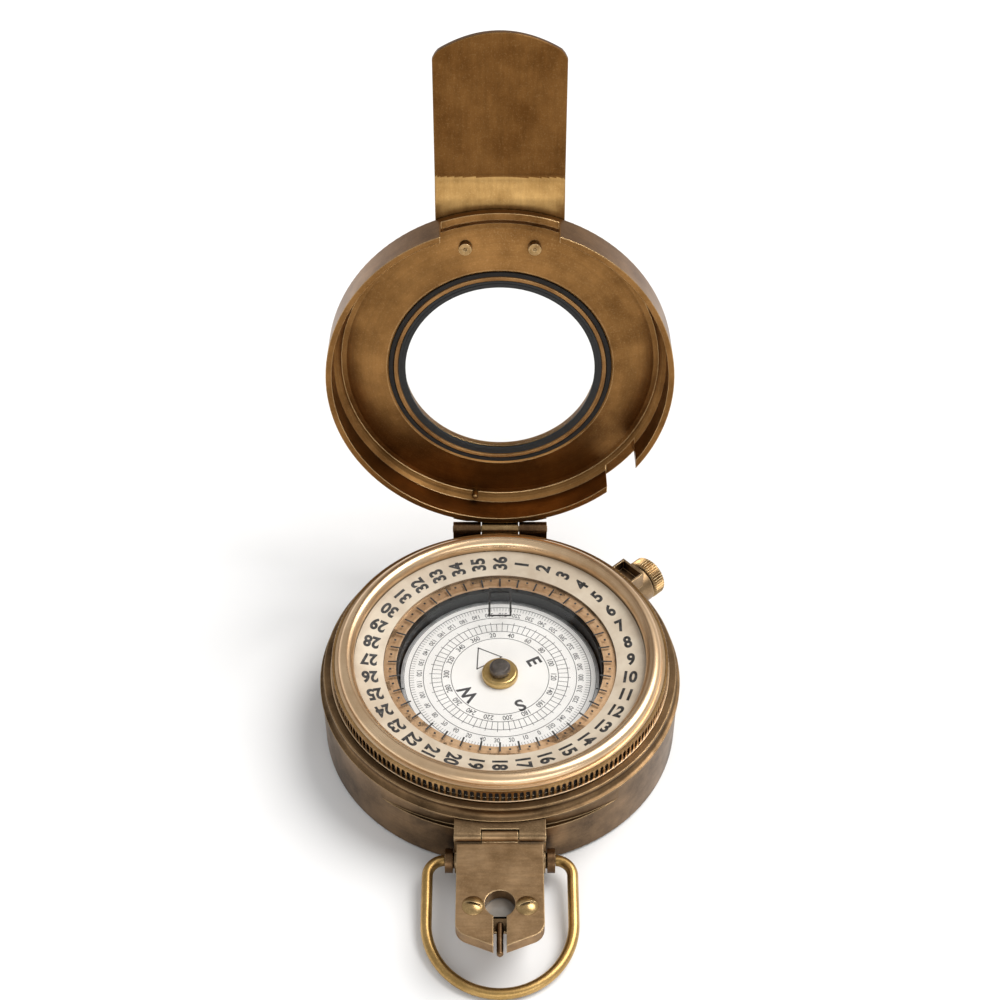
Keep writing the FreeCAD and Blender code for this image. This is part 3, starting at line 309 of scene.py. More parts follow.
def lettering(form, text, size, place, weight=0.0, squeeze=1.0, mirror=False, thick=PRINT_THICK):
    """Adds flat letters to a bmesh, centred on the place's origin, reading along its local X axis."""
    curve = bpy.data.curves.new("letters", "FONT")
    curve.body = text
    curve.size = size
    curve.offset = weight * size
    curve.extrude = thick / 2
    curve.resolution_u = 4
    curve.align_x = "CENTER"
    curve.align_y = "CENTER"
    holder = bpy.data.objects.new("letters", curve)
    mesh = bpy.data.meshes.new_from_object(holder)
    across = [v.co.x for v in mesh.vertices]
    up = [v.co.y for v in mesh.vertices]
    middle = Vector(((min(across) + max(across)) / 2, (min(up) + max(up)) / 2, 0.0))
    flip = -1.0 if mirror else 1.0
    mesh.transform(place @ Matrix.Diagonal((flip * squeeze, 1.0, 1.0, 1.0)) @ Matrix.Translation(-middle))
    form.from_mesh(mesh)
    bpy.data.meshes.remove(mesh)
    bpy.data.objects.remove(holder)
    bpy.data.curves.remove(curve)


def around(angle, reach, height, turn=0.0):
    """Place on a flat dial: its X axis points outwards, then turns by turn."""
    spot = Matrix.Translation((reach * math.cos(angle), reach * math.sin(angle), height))
    return spot @ Matrix.Rotation(angle + turn, 4, "Z")


card_enamel = printed_card()
card_ink = ink("card_ink", (0.10, 0.10, 0.105))
card_letter_ink = ink("card_letter_ink", (0.05, 0.05, 0.055))
silver_band = ground_steel("silver_band", (0.60, 0.61, 0.62), 0.34)
magnet_steel = ground_steel("magnet_steel", (0.20, 0.20, 0.22), 0.30)
dress(card_enamel, "compass_card")
dress(silver_band, "card_rim")
dress(magnet_steel, "card_magnets")

# Printed circles, ticks and digits, in mm from the card's centre outwards.
INNER_CIRCLE, INNER_TICKS, INNER_TICKS_END, NUMBER_TICKS_END = 8.7, 10.35, 12.1, 12.55
OUTER_CIRCLE, OUTER_TICKS, OUTER_TICKS_END, RIM_LINE = 13.6, 15.25, 16.1, 17.05
INNER_DIGIT, INNER_DIGITS_AT = 1.42, 9.52
OUTER_DIGIT, OUTER_DIGITS_AT = 1.28, 14.35
DIGIT_WEIGHT = 0.012
CARD_TICK, FINE_TICK = 0.10, 0.07
scales = bmesh.new()
print_height = CARD_TOP + PRINT_LIFT
low, high = print_height - PRINT_THICK / 2, print_height + PRINT_THICK / 2
for radius in (INNER_CIRCLE, INNER_TICKS, INNER_TICKS_END, OUTER_CIRCLE, OUTER_TICKS_END, RIM_LINE):
    band(scales, radius * MM - LINE_WIDTH / 2, radius * MM + LINE_WIDTH / 2, low, high)
for i in range(18):
    angle = CARD_NORTH - math.radians(20.0 * (i + 1))
    lettering(scales, str(20 * (i + 1)), INNER_DIGIT * MM,
              around(angle, INNER_DIGITS_AT * MM, print_height, -math.pi / 2), weight=DIGIT_WEIGHT, squeeze=0.84)
for i in range(36):
    angle = CARD_NORTH - math.radians(10.0 * i)
    lettering(scales, str((10 * i + 180) % 360), OUTER_DIGIT * MM,
              around(angle, OUTER_DIGITS_AT * MM, print_height, -math.pi / 2), weight=DIGIT_WEIGHT, squeeze=0.82,
              mirror=True)
piece("card_scales", scales, "card", card_ink, slot="card_white")


def finished_tree(tree, points, form, facing, finish):
    """Ends a geometry tree: copies on the points, made real, in their finish."""
    copies = add(tree, "GeometryNodeInstanceOnPoints", {"Points": points, "Instance": form,
                                                        "Rotation": facing}).outputs["Instances"]
    solid = add(tree, "GeometryNodeRealizeInstances", {"Geometry": copies}).outputs["Geometry"]
    coated = add(tree, "GeometryNodeSetMaterial", {"Geometry": solid, "Material": finish}).outputs["Geometry"]
    tree.links.new(coated, tree.nodes.new("NodeGroupOutput").inputs["Geometry"])
    return tree


def graduation_tree(name):
    """Geometry tree for a ring of radial marks: count, reach, length, width, thickness, height and first angle."""
    tree = bpy.data.node_groups.new(name, "GeometryNodeTree")
    tree.interface.new_socket("Geometry", in_out="OUTPUT", socket_type="NodeSocketGeometry")
    for label, kind in (("Count", "NodeSocketInt"), ("Reach", "NodeSocketFloat"), ("Length", "NodeSocketFloat"),
                        ("Width", "NodeSocketFloat"), ("Thickness", "NodeSocketFloat"), ("Height", "NodeSocketFloat"),
                        ("First angle", "NodeSocketFloat"), ("Finish", "NodeSocketMaterial")):
        tree.interface.new_socket(label, in_out="INPUT", socket_type=kind)
    given = tree.nodes.new("NodeGroupInput").outputs
    line = add(tree, "GeometryNodeMeshLine", {"Count": given["Count"], "Offset": (0.0, 0.0, 0.0)}, mode="OFFSET")
    order = add(tree, "GeometryNodeInputIndex").outputs["Index"]
    step = maths(tree, "DIVIDE", 2 * math.pi, given["Count"])
    angle = maths(tree, "MULTIPLY_ADD", order, step, given["First angle"])
    x = maths(tree, "MULTIPLY", maths(tree, "COSINE", angle), given["Reach"])
    y = maths(tree, "MULTIPLY", maths(tree, "SINE", angle), given["Reach"])
    spot = add(tree, "ShaderNodeCombineXYZ", {"X": x, "Y": y, "Z": given["Height"]}).outputs["Vector"]
    placed = add(tree, "GeometryNodeSetPosition", {"Geometry": line.outputs["Mesh"],
                                                   "Position": spot}).outputs["Geometry"]
    size = add(tree, "ShaderNodeCombineXYZ", {"X": given["Length"], "Y": given["Width"],
                                              "Z": given["Thickness"]}).outputs["Vector"]
    mark = add(tree, "GeometryNodeMeshCube", {"Size": size}).outputs["Mesh"]
    facing = add(tree, "ShaderNodeCombineXYZ", {"Z": angle}).outputs["Vector"]
    return finished_tree(tree, placed, mark, facing, given["Finish"])


def grown(name, tree, values, body, slot):
    """Evaluates a geometry tree with the given inputs and returns the plain mesh as a piece."""
    holder = bpy.data.objects.new(name + "_maker", bpy.data.meshes.new(name + "_maker"))
    bpy.context.scene.collection.objects.link(holder)
    modifier = holder.modifiers.new("maker", "NODES")
    modifier.node_group = tree
    for item in tree.interface.items_tree:
        if item.in_out == "INPUT" and item.name in values:
            modifier[item.identifier] = values[item.name]
    bpy.context.view_layer.update()
    mesh = bpy.data.meshes.new_from_object(holder.evaluated_get(bpy.context.evaluated_depsgraph_get()))
    mesh.name = name
    finish = values["Finish"]
    holder.modifiers.clear()
    bpy.data.objects.remove(holder)
    return piece(name, mesh, body, finish, slot=slot)


marks = graduation_tree("radial_marks")


def mark_ring(name, count, inner, outer, width, height, thick, finish, body, slot, first=0.0):
    """A ring of radial marks between two radii."""
    values = {"Count": count, "Reach": (inner + outer) / 2 * MM, "Length": (outer - inner) * MM, "Width": width * MM,
              "Thickness": thick, "Height": height, "First angle": first, "Finish": finish}
    return grown(name, marks, values, body, slot)


mark_ring("card_inner_marks", 72, INNER_TICKS, INNER_TICKS_END, CARD_TICK, print_height, PRINT_THICK, card_ink,
          "card", "card_white", CARD_NORTH)
mark_ring("card_number_ticks", 36, INNER_TICKS_END, NUMBER_TICKS_END, CARD_TICK, print_height, PRINT_THICK, card_ink,
          "card", "card_white", CARD_NORTH)
mark_ring("card_outer_marks", 180, OUTER_TICKS, OUTER_TICKS_END, FINE_TICK, print_height, PRINT_THICK, card_ink,
          "card", "card_white", CARD_NORTH)

letters = bmesh.new()
for sign, reach, offset in (("E", 6.9, -90.0), ("S", 7.6, -180.0), ("W", 7.0, -262.0)):
    angle = CARD_NORTH + math.radians(offset)
    lettering(letters, sign, 3.5 * MM, around(angle, reach * MM, print_height, -math.pi / 2), weight=0.026)
corners = [Vector((-3.9, 6.4)), Vector((0.3, 4.3)), Vector((-4.1, 1.5))]
for start, end in zip(corners, corners[1:] + corners[:1]):
    along = end - start
    centre = (start + end) / 2
    place = (Matrix.Translation((centre.x * MM, centre.y * MM, print_height))
             @ Matrix.Rotation(math.atan2(along.y, along.x), 4, "Z"))
    bar(letters, place, (along.length + 0.2) * MM, 0.21 * MM, PRINT_THICK)
piece("card_letters", letters, "card", card_letter_ink, slot="card_white")

# ---------------------------------------------------------------- Card hub and cap
# A brass hub holds the card, bored from below for the jewel that turns on the point. A dull grey
# metal cap sits on top of it, its edge a little chipped by the maker's pliers.


def lathe(profile, steps=128, round_by=0.0):
    """Closed solid turned about Z from (radius, height) points in mm. Corners may be rounded by round_by."""
    points = [Vector(p) for p in profile]
    if round_by:
        soft = []
        for before, corner, after in zip(points[-1:] + points[:-1], points, points[1:] + points[:1]):
            if corner.x < 1e-6:
                soft.append(corner)
                continue
            back = (before - corner)
            ahead = (after - corner)
            reach = min(round_by, 0.45 * back.length, 0.45 * ahead.length)
            start = corner + back.normalized() * reach
            end = corner + ahead.normalized() * reach
            for t in (0.0, 0.25, 0.5, 0.75, 1.0):
                soft.append(start * (1 - t) ** 2 + corner * 2 * t * (1 - t) + end * t ** 2)
        points = soft
    form = bmesh.new()
    rings = []
    for p in points:
        if p.x < 1e-6:
            rings.append([form.verts.new((0.0, 0.0, p.y * MM))])
        else:
            rings.append([form.verts.new((p.x * MM * math.cos(a), p.x * MM * math.sin(a), p.y * MM))
                          for a in (2 * math.pi * i / steps for i in range(steps))])
    for a, b in zip(rings, rings[1:] + rings[:1]):
        if len(a) == 1 and len(b) == 1:
            continue
        for i in range(steps):
            j = (i + 1) % steps
            corners = [a[i % len(a)], a[j % len(a)], b[j % len(b)], b[i % len(b)]]
            unique = [v for k, v in enumerate(corners) if v not in corners[:k]]
            form.faces.new(unique)
    return form


hub_brass = aged_brass("hub_brass", (0.50, 0.33, 0.12), (0.74, 0.53, 0.23), (0.95, 0.76, 0.42), rough=(0.24, 0.36),
                       blotch=500.0, lines=turned_case, line_depth=0.4, edge=0.12, wear=0.6, shade_and_dirt=0.35)
cap_metal = aged_brass("cap_metal", (0.13, 0.115, 0.105), (0.27, 0.245, 0.23), (0.46, 0.42, 0.39), rough=(0.42, 0.60),
                       blotch=700.0, lines=turned_case, line_depth=0.4, edge=0.10, wear=0.5, shade_and_dirt=0.4)
HUB, HUB_WAIST, HUB_FOOT, JEWEL_BORE = 3.2, 2.4, 2.9, 1.25
HUB_LOW, WAIST_LOW, WAIST_HIGH, BORE_HIGH, HUB_HIGH = 11.2, 11.7, 12.0, 13.3, 13.4
hub = lathe([(HUB_WAIST, WAIST_LOW), (HUB_FOOT, WAIST_LOW), (HUB_FOOT, HUB_LOW), (JEWEL_BORE, HUB_LOW),
             (JEWEL_BORE, BORE_HIGH), (0, BORE_HIGH), (0, HUB_HIGH), (HUB - 0.35, HUB_HIGH), (HUB, HUB_HIGH - 0.3),
             (HUB, WAIST_HIGH), (HUB_WAIST, WAIST_HIGH)], steps=96, round_by=0.16)
piece("card_hub_turned", hub, "card", hub_brass, slot="gold_brass", stands_for=("card_hub",))
CAP, CAP_HIGH, CHIP_DEPTH, CHIP_FINENESS = 1.85, 14.9, 0.045, 900.0
cap = lathe([(0, HUB_HIGH), (CAP, HUB_HIGH), (CAP, CAP_HIGH - 0.45), (CAP - 0.35, CAP_HIGH), (0, CAP_HIGH)],
            steps=72, round_by=0.14)
for vert in cap.verts:
    if vert.co.z > (HUB_HIGH + 0.1) * MM and vert.co.xy.length > 1.2 * MM:
        chip = 1.0 - CHIP_DEPTH * max(0.0, noise.noise(vert.co.xyz * CHIP_FINENESS))
        vert.co.x *= chip
        vert.co.y *= chip
piece("jewel_cap_dressed", cap, "card", cap_metal, slot="cap_grey", stands_for=("jewel_cap",))


def clouded_stone(name, dark, light, rough, fineness, detail, coat=0.0):
    """Polished stone or ground glass, faintly clouded."""
    made, tree, stone = blank_finish(name)
    patch = cloud(tree, own_place(tree), fineness, detail)
    tree.links.new(ramp(tree, patch, [(0.3, dark), (0.7, light)]), stone.inputs["Base Color"])
    tree.links.new(ramp(tree, patch, [(0.3, rough[0]), (0.7, rough[1])]), stone.inputs["Roughness"])
    stone.inputs["Coat Weight"].default_value = coat
    return made


jewel = clouded_stone("ruby_jewel", (0.35, 0.01, 0.03), (0.55, 0.03, 0.07), (0.08, 0.2), 1200.0, 2.0)
dress(jewel, "cap_jewel")

# ---------------------------------------------------------------- Bezel ring
# The turning ring is one brass turning: a fat polished bead on top, a skirt cut all round with
# straight grip slots, a thin bottom lip, and a sleeve that a split spring ring holds in the case.
SKIRT = 29.5
SLOT_DEPTH = 0.55
SKIRT_LOW = 15.6
SKIRT_TOP = 17.9
SLOTS = 180
BEAD_CENTRE, BEAD_HEIGHT, BEAD_RADIUS = 26.95, 18.0, 1.4
BEAD_FROM, BEAD_SWEEP, BEAD_STEPS = -4.0, 209.0, 25
bead_points = []
for k in range(BEAD_STEPS + 1):
    angle = math.radians(BEAD_FROM + BEAD_SWEEP * k / BEAD_STEPS)
    bead_points.append((BEAD_CENTRE + BEAD_RADIUS * math.cos(angle), BEAD_HEIGHT + BEAD_RADIUS * math.sin(angle)))
root = SKIRT - SLOT_DEPTH
ring = lathe([(27.65, 8.1), (28.85, 8.1), (28.85, 12.6), (28.2, 12.6), (28.2, 13.4), (28.85, 13.4), (28.85, 15.3),
              (29.68, 15.3), (29.75, 15.37), (29.75, 15.55), (29.68, 15.62), (root, 15.62), (root, SKIRT_TOP - 0.05),
              (root, SKIRT_TOP), (BEAD_CENTRE + 0.96 * BEAD_RADIUS, SKIRT_TOP)]
             + bead_points + [(25.65, 16.85), (25.65, 15.0), (27.65, 15.0)], steps=360)
# The slot roots take the second finish, a near-black that paints the shade between the ribs.
for face in ring.faces:
    middle = face.calc_center_median() / MM
    if abs(middle.xy.length - root) < 0.05 and SKIRT_LOW - 0.2 < middle.z < SKIRT_TOP:
        face.material_index = 1
bead_gold = aged_brass("bead_gold", (0.62, 0.41, 0.23), (0.90, 0.66, 0.42), (0.97, 0.82, 0.60), rough=(0.24, 0.34),
                       blotch=90.0, lines=turned_case, line_depth=0.22, edge=0.10, wear=0.5, shade_and_dirt=0.35, pits=0.05)
# Painted shade: this near-black stands for the shade in the slots and in the window groove.
slot_dirt = matt_black("slot_dirt", (0.008, 0.005, 0.003), 0.75)
piece("bezel_turned", ring, "bezel", bead_gold, slot_dirt, slot="gold_brass", stands_for=("bezel_ring",))


def grip_rib():
    """One rib between two slots. It widens at its top, so the slots end in round arches."""
    pitch = 2 * math.pi * SKIRT / SLOTS
    thin, wide = 0.17 * pitch, 0.497 * pitch
    arch = wide - thin
    outline = [(thin, SKIRT_LOW)]
    for k in range(5):
        a = math.radians(90.0 * k / 4)
        outline.append((thin + arch * (1 - math.cos(a)), SKIRT_TOP - 0.32 - arch + arch * math.sin(a)))
    outline += [(wide, SKIRT_TOP - 0.14), (wide, SKIRT_TOP)]
    outline += [(-x, z) for x, z in reversed(outline)]
    form = bmesh.new()
    inner = [form.verts.new(((root - 0.06) * MM, x * MM, z * MM)) for x, z in outline]
    outer = []
    for x, z in outline:
        drop = 0.14 if z > SKIRT_TOP - 0.01 else 0.05 if abs(x) > 0.9 * thin and z < SKIRT_TOP - 0.2 else 0.0
        outer.append(form.verts.new(((SKIRT - drop) * MM, x * MM, z * MM)))
    form.faces.new(outer)
    form.faces.new(list(reversed(inner)))
    for i in range(len(outline)):
        j = (i + 1) % len(outline)
        form.faces.new((inner[i], inner[j], outer[j], outer[i]))
    return form


def grown_round(name, template, count, finish, body, slot):
    """Repeats a template bmesh round the Z axis as one piece."""
    bmesh.ops.recalc_face_normals(template, faces=template.faces)
    mesh = bpy.data.meshes.new(name + "_template")
    template.to_mesh(mesh)
    template.free()
    holder = bpy.data.objects.new(name + "_template", mesh)
    bpy.context.scene.collection.objects.link(holder)
    made = grown(name, repeats, {"Count": count, "Template": holder, "Finish": finish}, body, slot)
    bpy.data.objects.remove(holder)
    return made


def repeat_tree(name):
    """Geometry tree that repeats one template round the Z axis."""
    tree = bpy.data.node_groups.new(name, "GeometryNodeTree")
    tree.interface.new_socket("Geometry", in_out="OUTPUT", socket_type="NodeSocketGeometry")
    for label, kind in (("Count", "NodeSocketInt"), ("Template", "NodeSocketObject"), ("Finish", "NodeSocketMaterial")):
        tree.interface.new_socket(label, in_out="INPUT", socket_type=kind)
    given = tree.nodes.new("NodeGroupInput").outputs
    line = add(tree, "GeometryNodeMeshLine", {"Count": given["Count"], "Offset": (0.0, 0.0, 0.0)}, mode="OFFSET")
    order = add(tree, "GeometryNodeInputIndex").outputs["Index"]
    step = maths(tree, "DIVIDE", 2 * math.pi, given["Count"])
    angle = maths(tree, "MULTIPLY", order, step)
    facing = add(tree, "ShaderNodeCombineXYZ", {"Z": angle}).outputs["Vector"]
    form = add(tree, "GeometryNodeObjectInfo", {"Object": given["Template"]}).outputs["Geometry"]
    return finished_tree(tree, line.outputs["Mesh"], form, facing, given["Finish"])


repeats = repeat_tree("repeat_round")
rib_gold = aged_brass("rib_gold", (0.24, 0.13, 0.05), (0.50, 0.30, 0.125), (0.88, 0.62, 0.32), rough=(0.24, 0.38),
                      blotch=260.0, edge=0.05, wear=0.4, shade_and_dirt=0.85)
grown_round("bezel_grip", grip_rib(), SLOTS, rib_gold, "bezel", "gold_brass")

# ---------------------------------------------------------------- Number ring
# A cream enamelled ring slopes down to the glass inside the bezel. Its numbers 1 to 36 stand for
# tens of degrees, run clockwise, are engraved along the radius, and are filled with black paint.
SLOPE_IN, SLOPE_OUT = (20.55, 16.0), (25.6, 17.05)
SLOPE = math.atan2(SLOPE_OUT[1] - SLOPE_IN[1], SLOPE_OUT[0] - SLOPE_IN[0])


def cream_enamel():
    """Cream paint on metal, tinted brown in blotches, with painted shade darkening the corner under the bead."""
    made, tree, paint = blank_finish("cream_enamel")
    spot = own_place(tree)
    patches = cloud(tree, spot, 160.0, 8.0, 0.6)
    fine = cloud(tree, spot, 2600.0, 4.0)
    colour = ramp(tree, patches, [(0.3, (0.52, 0.42, 0.31)), (0.68, (0.70, 0.61, 0.48))])
    # Painted shade: the AO node darkens the cream strongly in the corner under the bead.
    hollow = add(tree, "ShaderNodeAmbientOcclusion", {"Distance": 2.2 * MM}, samples=6).outputs["AO"]
    shade_under_bead = ramp(tree, hollow, [(0.20, (0.10, 0.08, 0.06)), (0.72, (1.0, 1.0, 1.0))])
    tree.links.new(mix(tree, 1.0, colour, shade_under_bead, "MULTIPLY"), paint.inputs["Base Color"])
    tree.links.new(ramp(tree, patches, [(0.3, 0.34), (0.7, 0.46)]), paint.inputs["Roughness"])
    roughen(tree, paint, fine, 0.15, 0.02)
    return made


def on_slope(angle, reach):
    """Place on the sloping ring, with X outwards along the slope."""
    z = SLOPE_IN[1] + (reach - SLOPE_IN[0]) * math.tan(SLOPE) + 0.012
    spot = Matrix.Translation((reach * MM * math.cos(angle), reach * MM * math.sin(angle), z * MM))
    return spot @ Matrix.Rotation(angle, 4, "Z") @ Matrix.Rotation(-SLOPE, 4, "Y")


dress(cream_enamel(), "number_ring")
number_black = ink("number_black", (0.012, 0.010, 0.009))
numbers = bmesh.new()
for i in range(1, 37):
    angle = math.radians(90.0 - 10.0 * i)
    lettering(numbers, str(i), 3.45 * MM, on_slope(angle, 23.0 + 0.1 * math.sin(7.0 * i)), weight=0.040, squeeze=0.82,
              thick=0.02 * MM)
piece("bezel_numbers", numbers, "bezel", number_black, slot="number_cream")

# ---------------------------------------------------------------- Tick ring, glass and index
# A copper ring lies under the glass. The glass carries black ticks every ten degrees, dots at the
# fives, and the framed index that is set over the card, all painted on its upper face.
copper = aged_brass("copper_ring", (0.60, 0.36, 0.19), (0.90, 0.62, 0.38), (0.95, 0.70, 0.45), rough=(0.42, 0.55),
                    blotch=200.0, lines=turned_case, line_depth=0.3, edge=0.06, wear=0.3, shade_and_dirt=0.15)
dress(copper, "tick_ring")
GLASS_TOP = 15.9 * MM


def clear_glass(name, tint, sheen_rough):
    """Thin pane: light passes straight through, with a Fresnel reflection and faint smears."""
    made, tree, opaque = blank_finish(name)
    tree.nodes.remove(opaque)
    smear = cloud(tree, own_place(tree), 120.0, 6.0)
    through = add(tree, "ShaderNodeBsdfTransparent", {"Color": (*tint, 1.0)})
    gloss = add(tree, "ShaderNodeBsdfGlossy", {
        "Color": (1.0, 1.0, 1.0, 1.0), "Roughness": ramp(tree, smear, [(0.3, sheen_rough), (0.7, sheen_rough + 0.06)])})
    share = maths(tree, "MULTIPLY", add(tree, "ShaderNodeFresnel", {"IOR": 1.45}).outputs["Fac"], 0.28)
    both = add(tree, "ShaderNodeMixShader", {0: share, 1: through.outputs[0], 2: gloss.outputs[0]})
    tree.links.new(both.outputs[0], tree.nodes["Material Output"].inputs["Surface"])
    return made


dress(clear_glass("bezel_pane", (0.992, 0.992, 0.988), 0.03), "bezel_glass")
tick_height = GLASS_TOP + PRINT_LIFT
TICK_START, TICK_END, TICK_WIDTH = 17.75, 19.7, 0.32
DOT_START, DOT_END, DOT_WIDTH = 19.1, 19.48, 0.38
mark_ring("glass_ticks", 36, TICK_START, TICK_END, TICK_WIDTH, tick_height, PRINT_THICK, number_black,
          "bezel", "number_cream", math.radians(10.0))
mark_ring("glass_dots", 36, DOT_START, DOT_END, DOT_WIDTH, tick_height, PRINT_THICK, number_black,
          "bezel", "number_cream", math.radians(5.0))
index = bmesh.new()
INDEX_HALF, INDEX_LOW, INDEX_HIGH, INDEX_LINE = 1.9, 10.75, 17.3, 0.36
for x in (-INDEX_HALF, INDEX_HALF):
    bar(index, Matrix.Translation((x * MM, (INDEX_LOW + INDEX_HIGH) / 2 * MM, tick_height)), INDEX_LINE * MM,
        (INDEX_HIGH - INDEX_LOW + INDEX_LINE) * MM, PRINT_THICK)
for y in (INDEX_LOW, INDEX_HIGH):
    bar(index, Matrix.Translation((0.0, y * MM, tick_height)), (2 * INDEX_HALF - INDEX_LINE) * MM,
        INDEX_LINE * MM, PRINT_THICK)
piece("glass_index", index, "bezel", number_black, slot="number_cream")

# ---------------------------------------------------------------- Clamp
# A round boss with an open pocket is soldered to the wall. Its screw has a straight-knurled brass
# head, and pushes a short shoe against the bezel's sleeve to lock the bezel.
CLAMP_ANGLE = math.radians(43.0)
CLAMP_HEIGHT = 9.8
HEAD_START, HEAD_END, HEAD_RADIUS = 36.3, 39.1, 3.75
HEAD_RIBS = 44
boss_brass = aged_brass("boss_brass", (0.12, 0.075, 0.038), (0.36, 0.24, 0.13), (0.78, 0.55, 0.30), rough=(0.28, 0.46),
                        blotch=260.0, edge=0.22, wear=1.0, shade_and_dirt=0.92)
dress(boss_brass, "clamp_lug", "clamp_shoe")
to_clamp = (Matrix.Rotation(CLAMP_ANGLE, 4, "Z") @ Matrix.Translation((0.0, 0.0, CLAMP_HEIGHT * MM))
            @ Matrix.Rotation(math.radians(90.0), 4, "Y"))
SHANK_TIP, SHANK, RIB_ROOT, DISH = 32.4, 1.3, 0.28, 0.25
screw = lathe([(0, SHANK_TIP), (SHANK, SHANK_TIP), (SHANK, HEAD_START), (HEAD_RADIUS - 0.45, HEAD_START),
               (HEAD_RADIUS - RIB_ROOT, HEAD_START + 0.2), (HEAD_RADIUS - RIB_ROOT, HEAD_END - 0.3),
               (HEAD_RADIUS - 0.6, HEAD_END), (SHANK + 0.3, HEAD_END), (SHANK, HEAD_END - DISH),
               (0, HEAD_END - DISH)], steps=96)
bmesh.ops.transform(screw, matrix=to_clamp, verts=screw.verts)
knurl_brass = aged_brass("knurl_brass", (0.22, 0.125, 0.05), (0.52, 0.34, 0.16), (0.93, 0.72, 0.42), rough=(0.26, 0.40),
                         blotch=300.0, edge=0.10, wear=1.0, shade_and_dirt=0.7)
piece("clamp_screw_turned", screw, "clamp", knurl_brass, slot="gold_brass", stands_for=("clamp_screw",))


def head_rib():
    """One straight knurl rib, with sloping ends."""
    half = math.pi * HEAD_RADIUS / HEAD_RIBS
    form = bmesh.new()
    low = HEAD_RADIUS - 0.33
    levels = ((HEAD_START + 0.08, low), (HEAD_START + 0.34, HEAD_RADIUS), (HEAD_END - 0.5, HEAD_RADIUS),
              (HEAD_END - 0.12, low - 0.05))
    sections = []
    for z, top in levels:
        foot = low - 0.12
        corners = ((foot, -half), (top, -0.12 * half), (top, 0.12 * half), (foot, half))
        sections.append([form.verts.new((r * MM, x * MM, z * MM)) for r, x in corners])
    for a, b in zip(sections, sections[1:]):
        for i in range(4):
            j = (i + 1) % 4
            form.faces.new((a[i], a[j], b[j], b[i]))
    form.faces.new(sections[0])
    form.faces.new(list(reversed(sections[-1])))
    return form


knurl = grown_round("clamp_knurl", head_rib(), HEAD_RIBS, knurl_brass, "clamp", "gold_brass")
knurl.data.transform(to_clamp)

# ---------------------------------------------------------------- Lid
# The lid is a shallow brass cup, turned inside and out. Its wall is notched for the sight strip and
# cut away at the clamp, and its sloping floor shows the lathe's marks under a brown patina.
HINGE = Vector((0.0, 32.7 * MM, 15.7 * MM))
OPEN = Matrix.Translation(HINGE) @ Matrix.Rotation(math.radians(-98.5), 4, "X") @ Matrix.Translation(-HINGE)
lid_place = OPEN.inverted()


def turned_lid(tree):
    return lathe_lines(tree, tuple(lid_place.translation), tuple(lid_place.to_euler()), 2200.0)


lid_brass = aged_brass("lid_brass", (0.120, 0.054, 0.015), (0.30, 0.150, 0.048), (0.82, 0.56, 0.28), rough=(0.27, 0.42),
                       blotch=110.0, lines=turned_lid, line_depth=0.45, edge=0.24, wear=1.0, shade_and_dirt=0.42)
ring_bronze = aged_brass("ring_bronze", (0.16, 0.075, 0.026), (0.34, 0.18, 0.068), (0.72, 0.48, 0.23),
                         rough=(0.25, 0.38),
                         blotch=240.0, lines=turned_lid, line_depth=0.3, edge=0.12, wear=0.6, shade_and_dirt=0.8)
gasket_black = matt_black("gasket_black", (0.004, 0.004, 0.004), 0.45)
dress(lid_brass, "lid_shell")
dress(clear_glass("window_pane", (0.985, 0.99, 0.985), 0.02), "window_glass")
dress(ring_bronze, "window_ring")
# Painted shade: the groove round the window is coated near-black to stand for the shade in it.
groove = lathe([(19.22, 19.84), (19.95, 19.84), (19.95, 20.3), (19.22, 20.3)], steps=160)
bmesh.ops.transform(groove, matrix=OPEN, verts=groove.verts)
piece("window_groove", groove, "lid", slot_dirt, slot="black_gasket")
inner_lip = lathe([(17.02, 19.78), (17.75, 19.78), (17.75, 19.9), (17.02, 19.9)], steps=160, round_by=0.05)
bmesh.ops.transform(inner_lip, matrix=OPEN, verts=inner_lip.verts)
piece("window_inner_lip", inner_lip, "lid", gasket_black, slot="black_gasket")
dress(gasket_black, "window_gasket")
rivet_brass = aged_brass("rivet_brass", (0.22, 0.13, 0.05), (0.48, 0.31, 0.14), (0.85, 0.64, 0.36), rough=(0.28, 0.40),
                         blotch=600.0, edge=0.14, wear=1.0, shade_and_dirt=0.9)
dress(rivet_brass, "tongue_rivets", "lid_stud")

# ---------------------------------------------------------------- Sight strip
# A strip of brass sheet is riveted to the lid's back and stepped away beyond the wall. Its broad end is arched, and its
# face has a mottled brown patina. From the root to the step the strip is painted lighter, as painted light for the
# light its upward-sloping step catches.
STRIP_HALF, STRIP_THICK, STRIP_BASE = 11.1, 1.1, 22.4
STEP_START, STEP_END, STEP = 31.6, 36.5, 1.1
STRIP_ROOT, STRIP_CORNER, STRIP_CROWN = 22.4, 58.2, 61.9


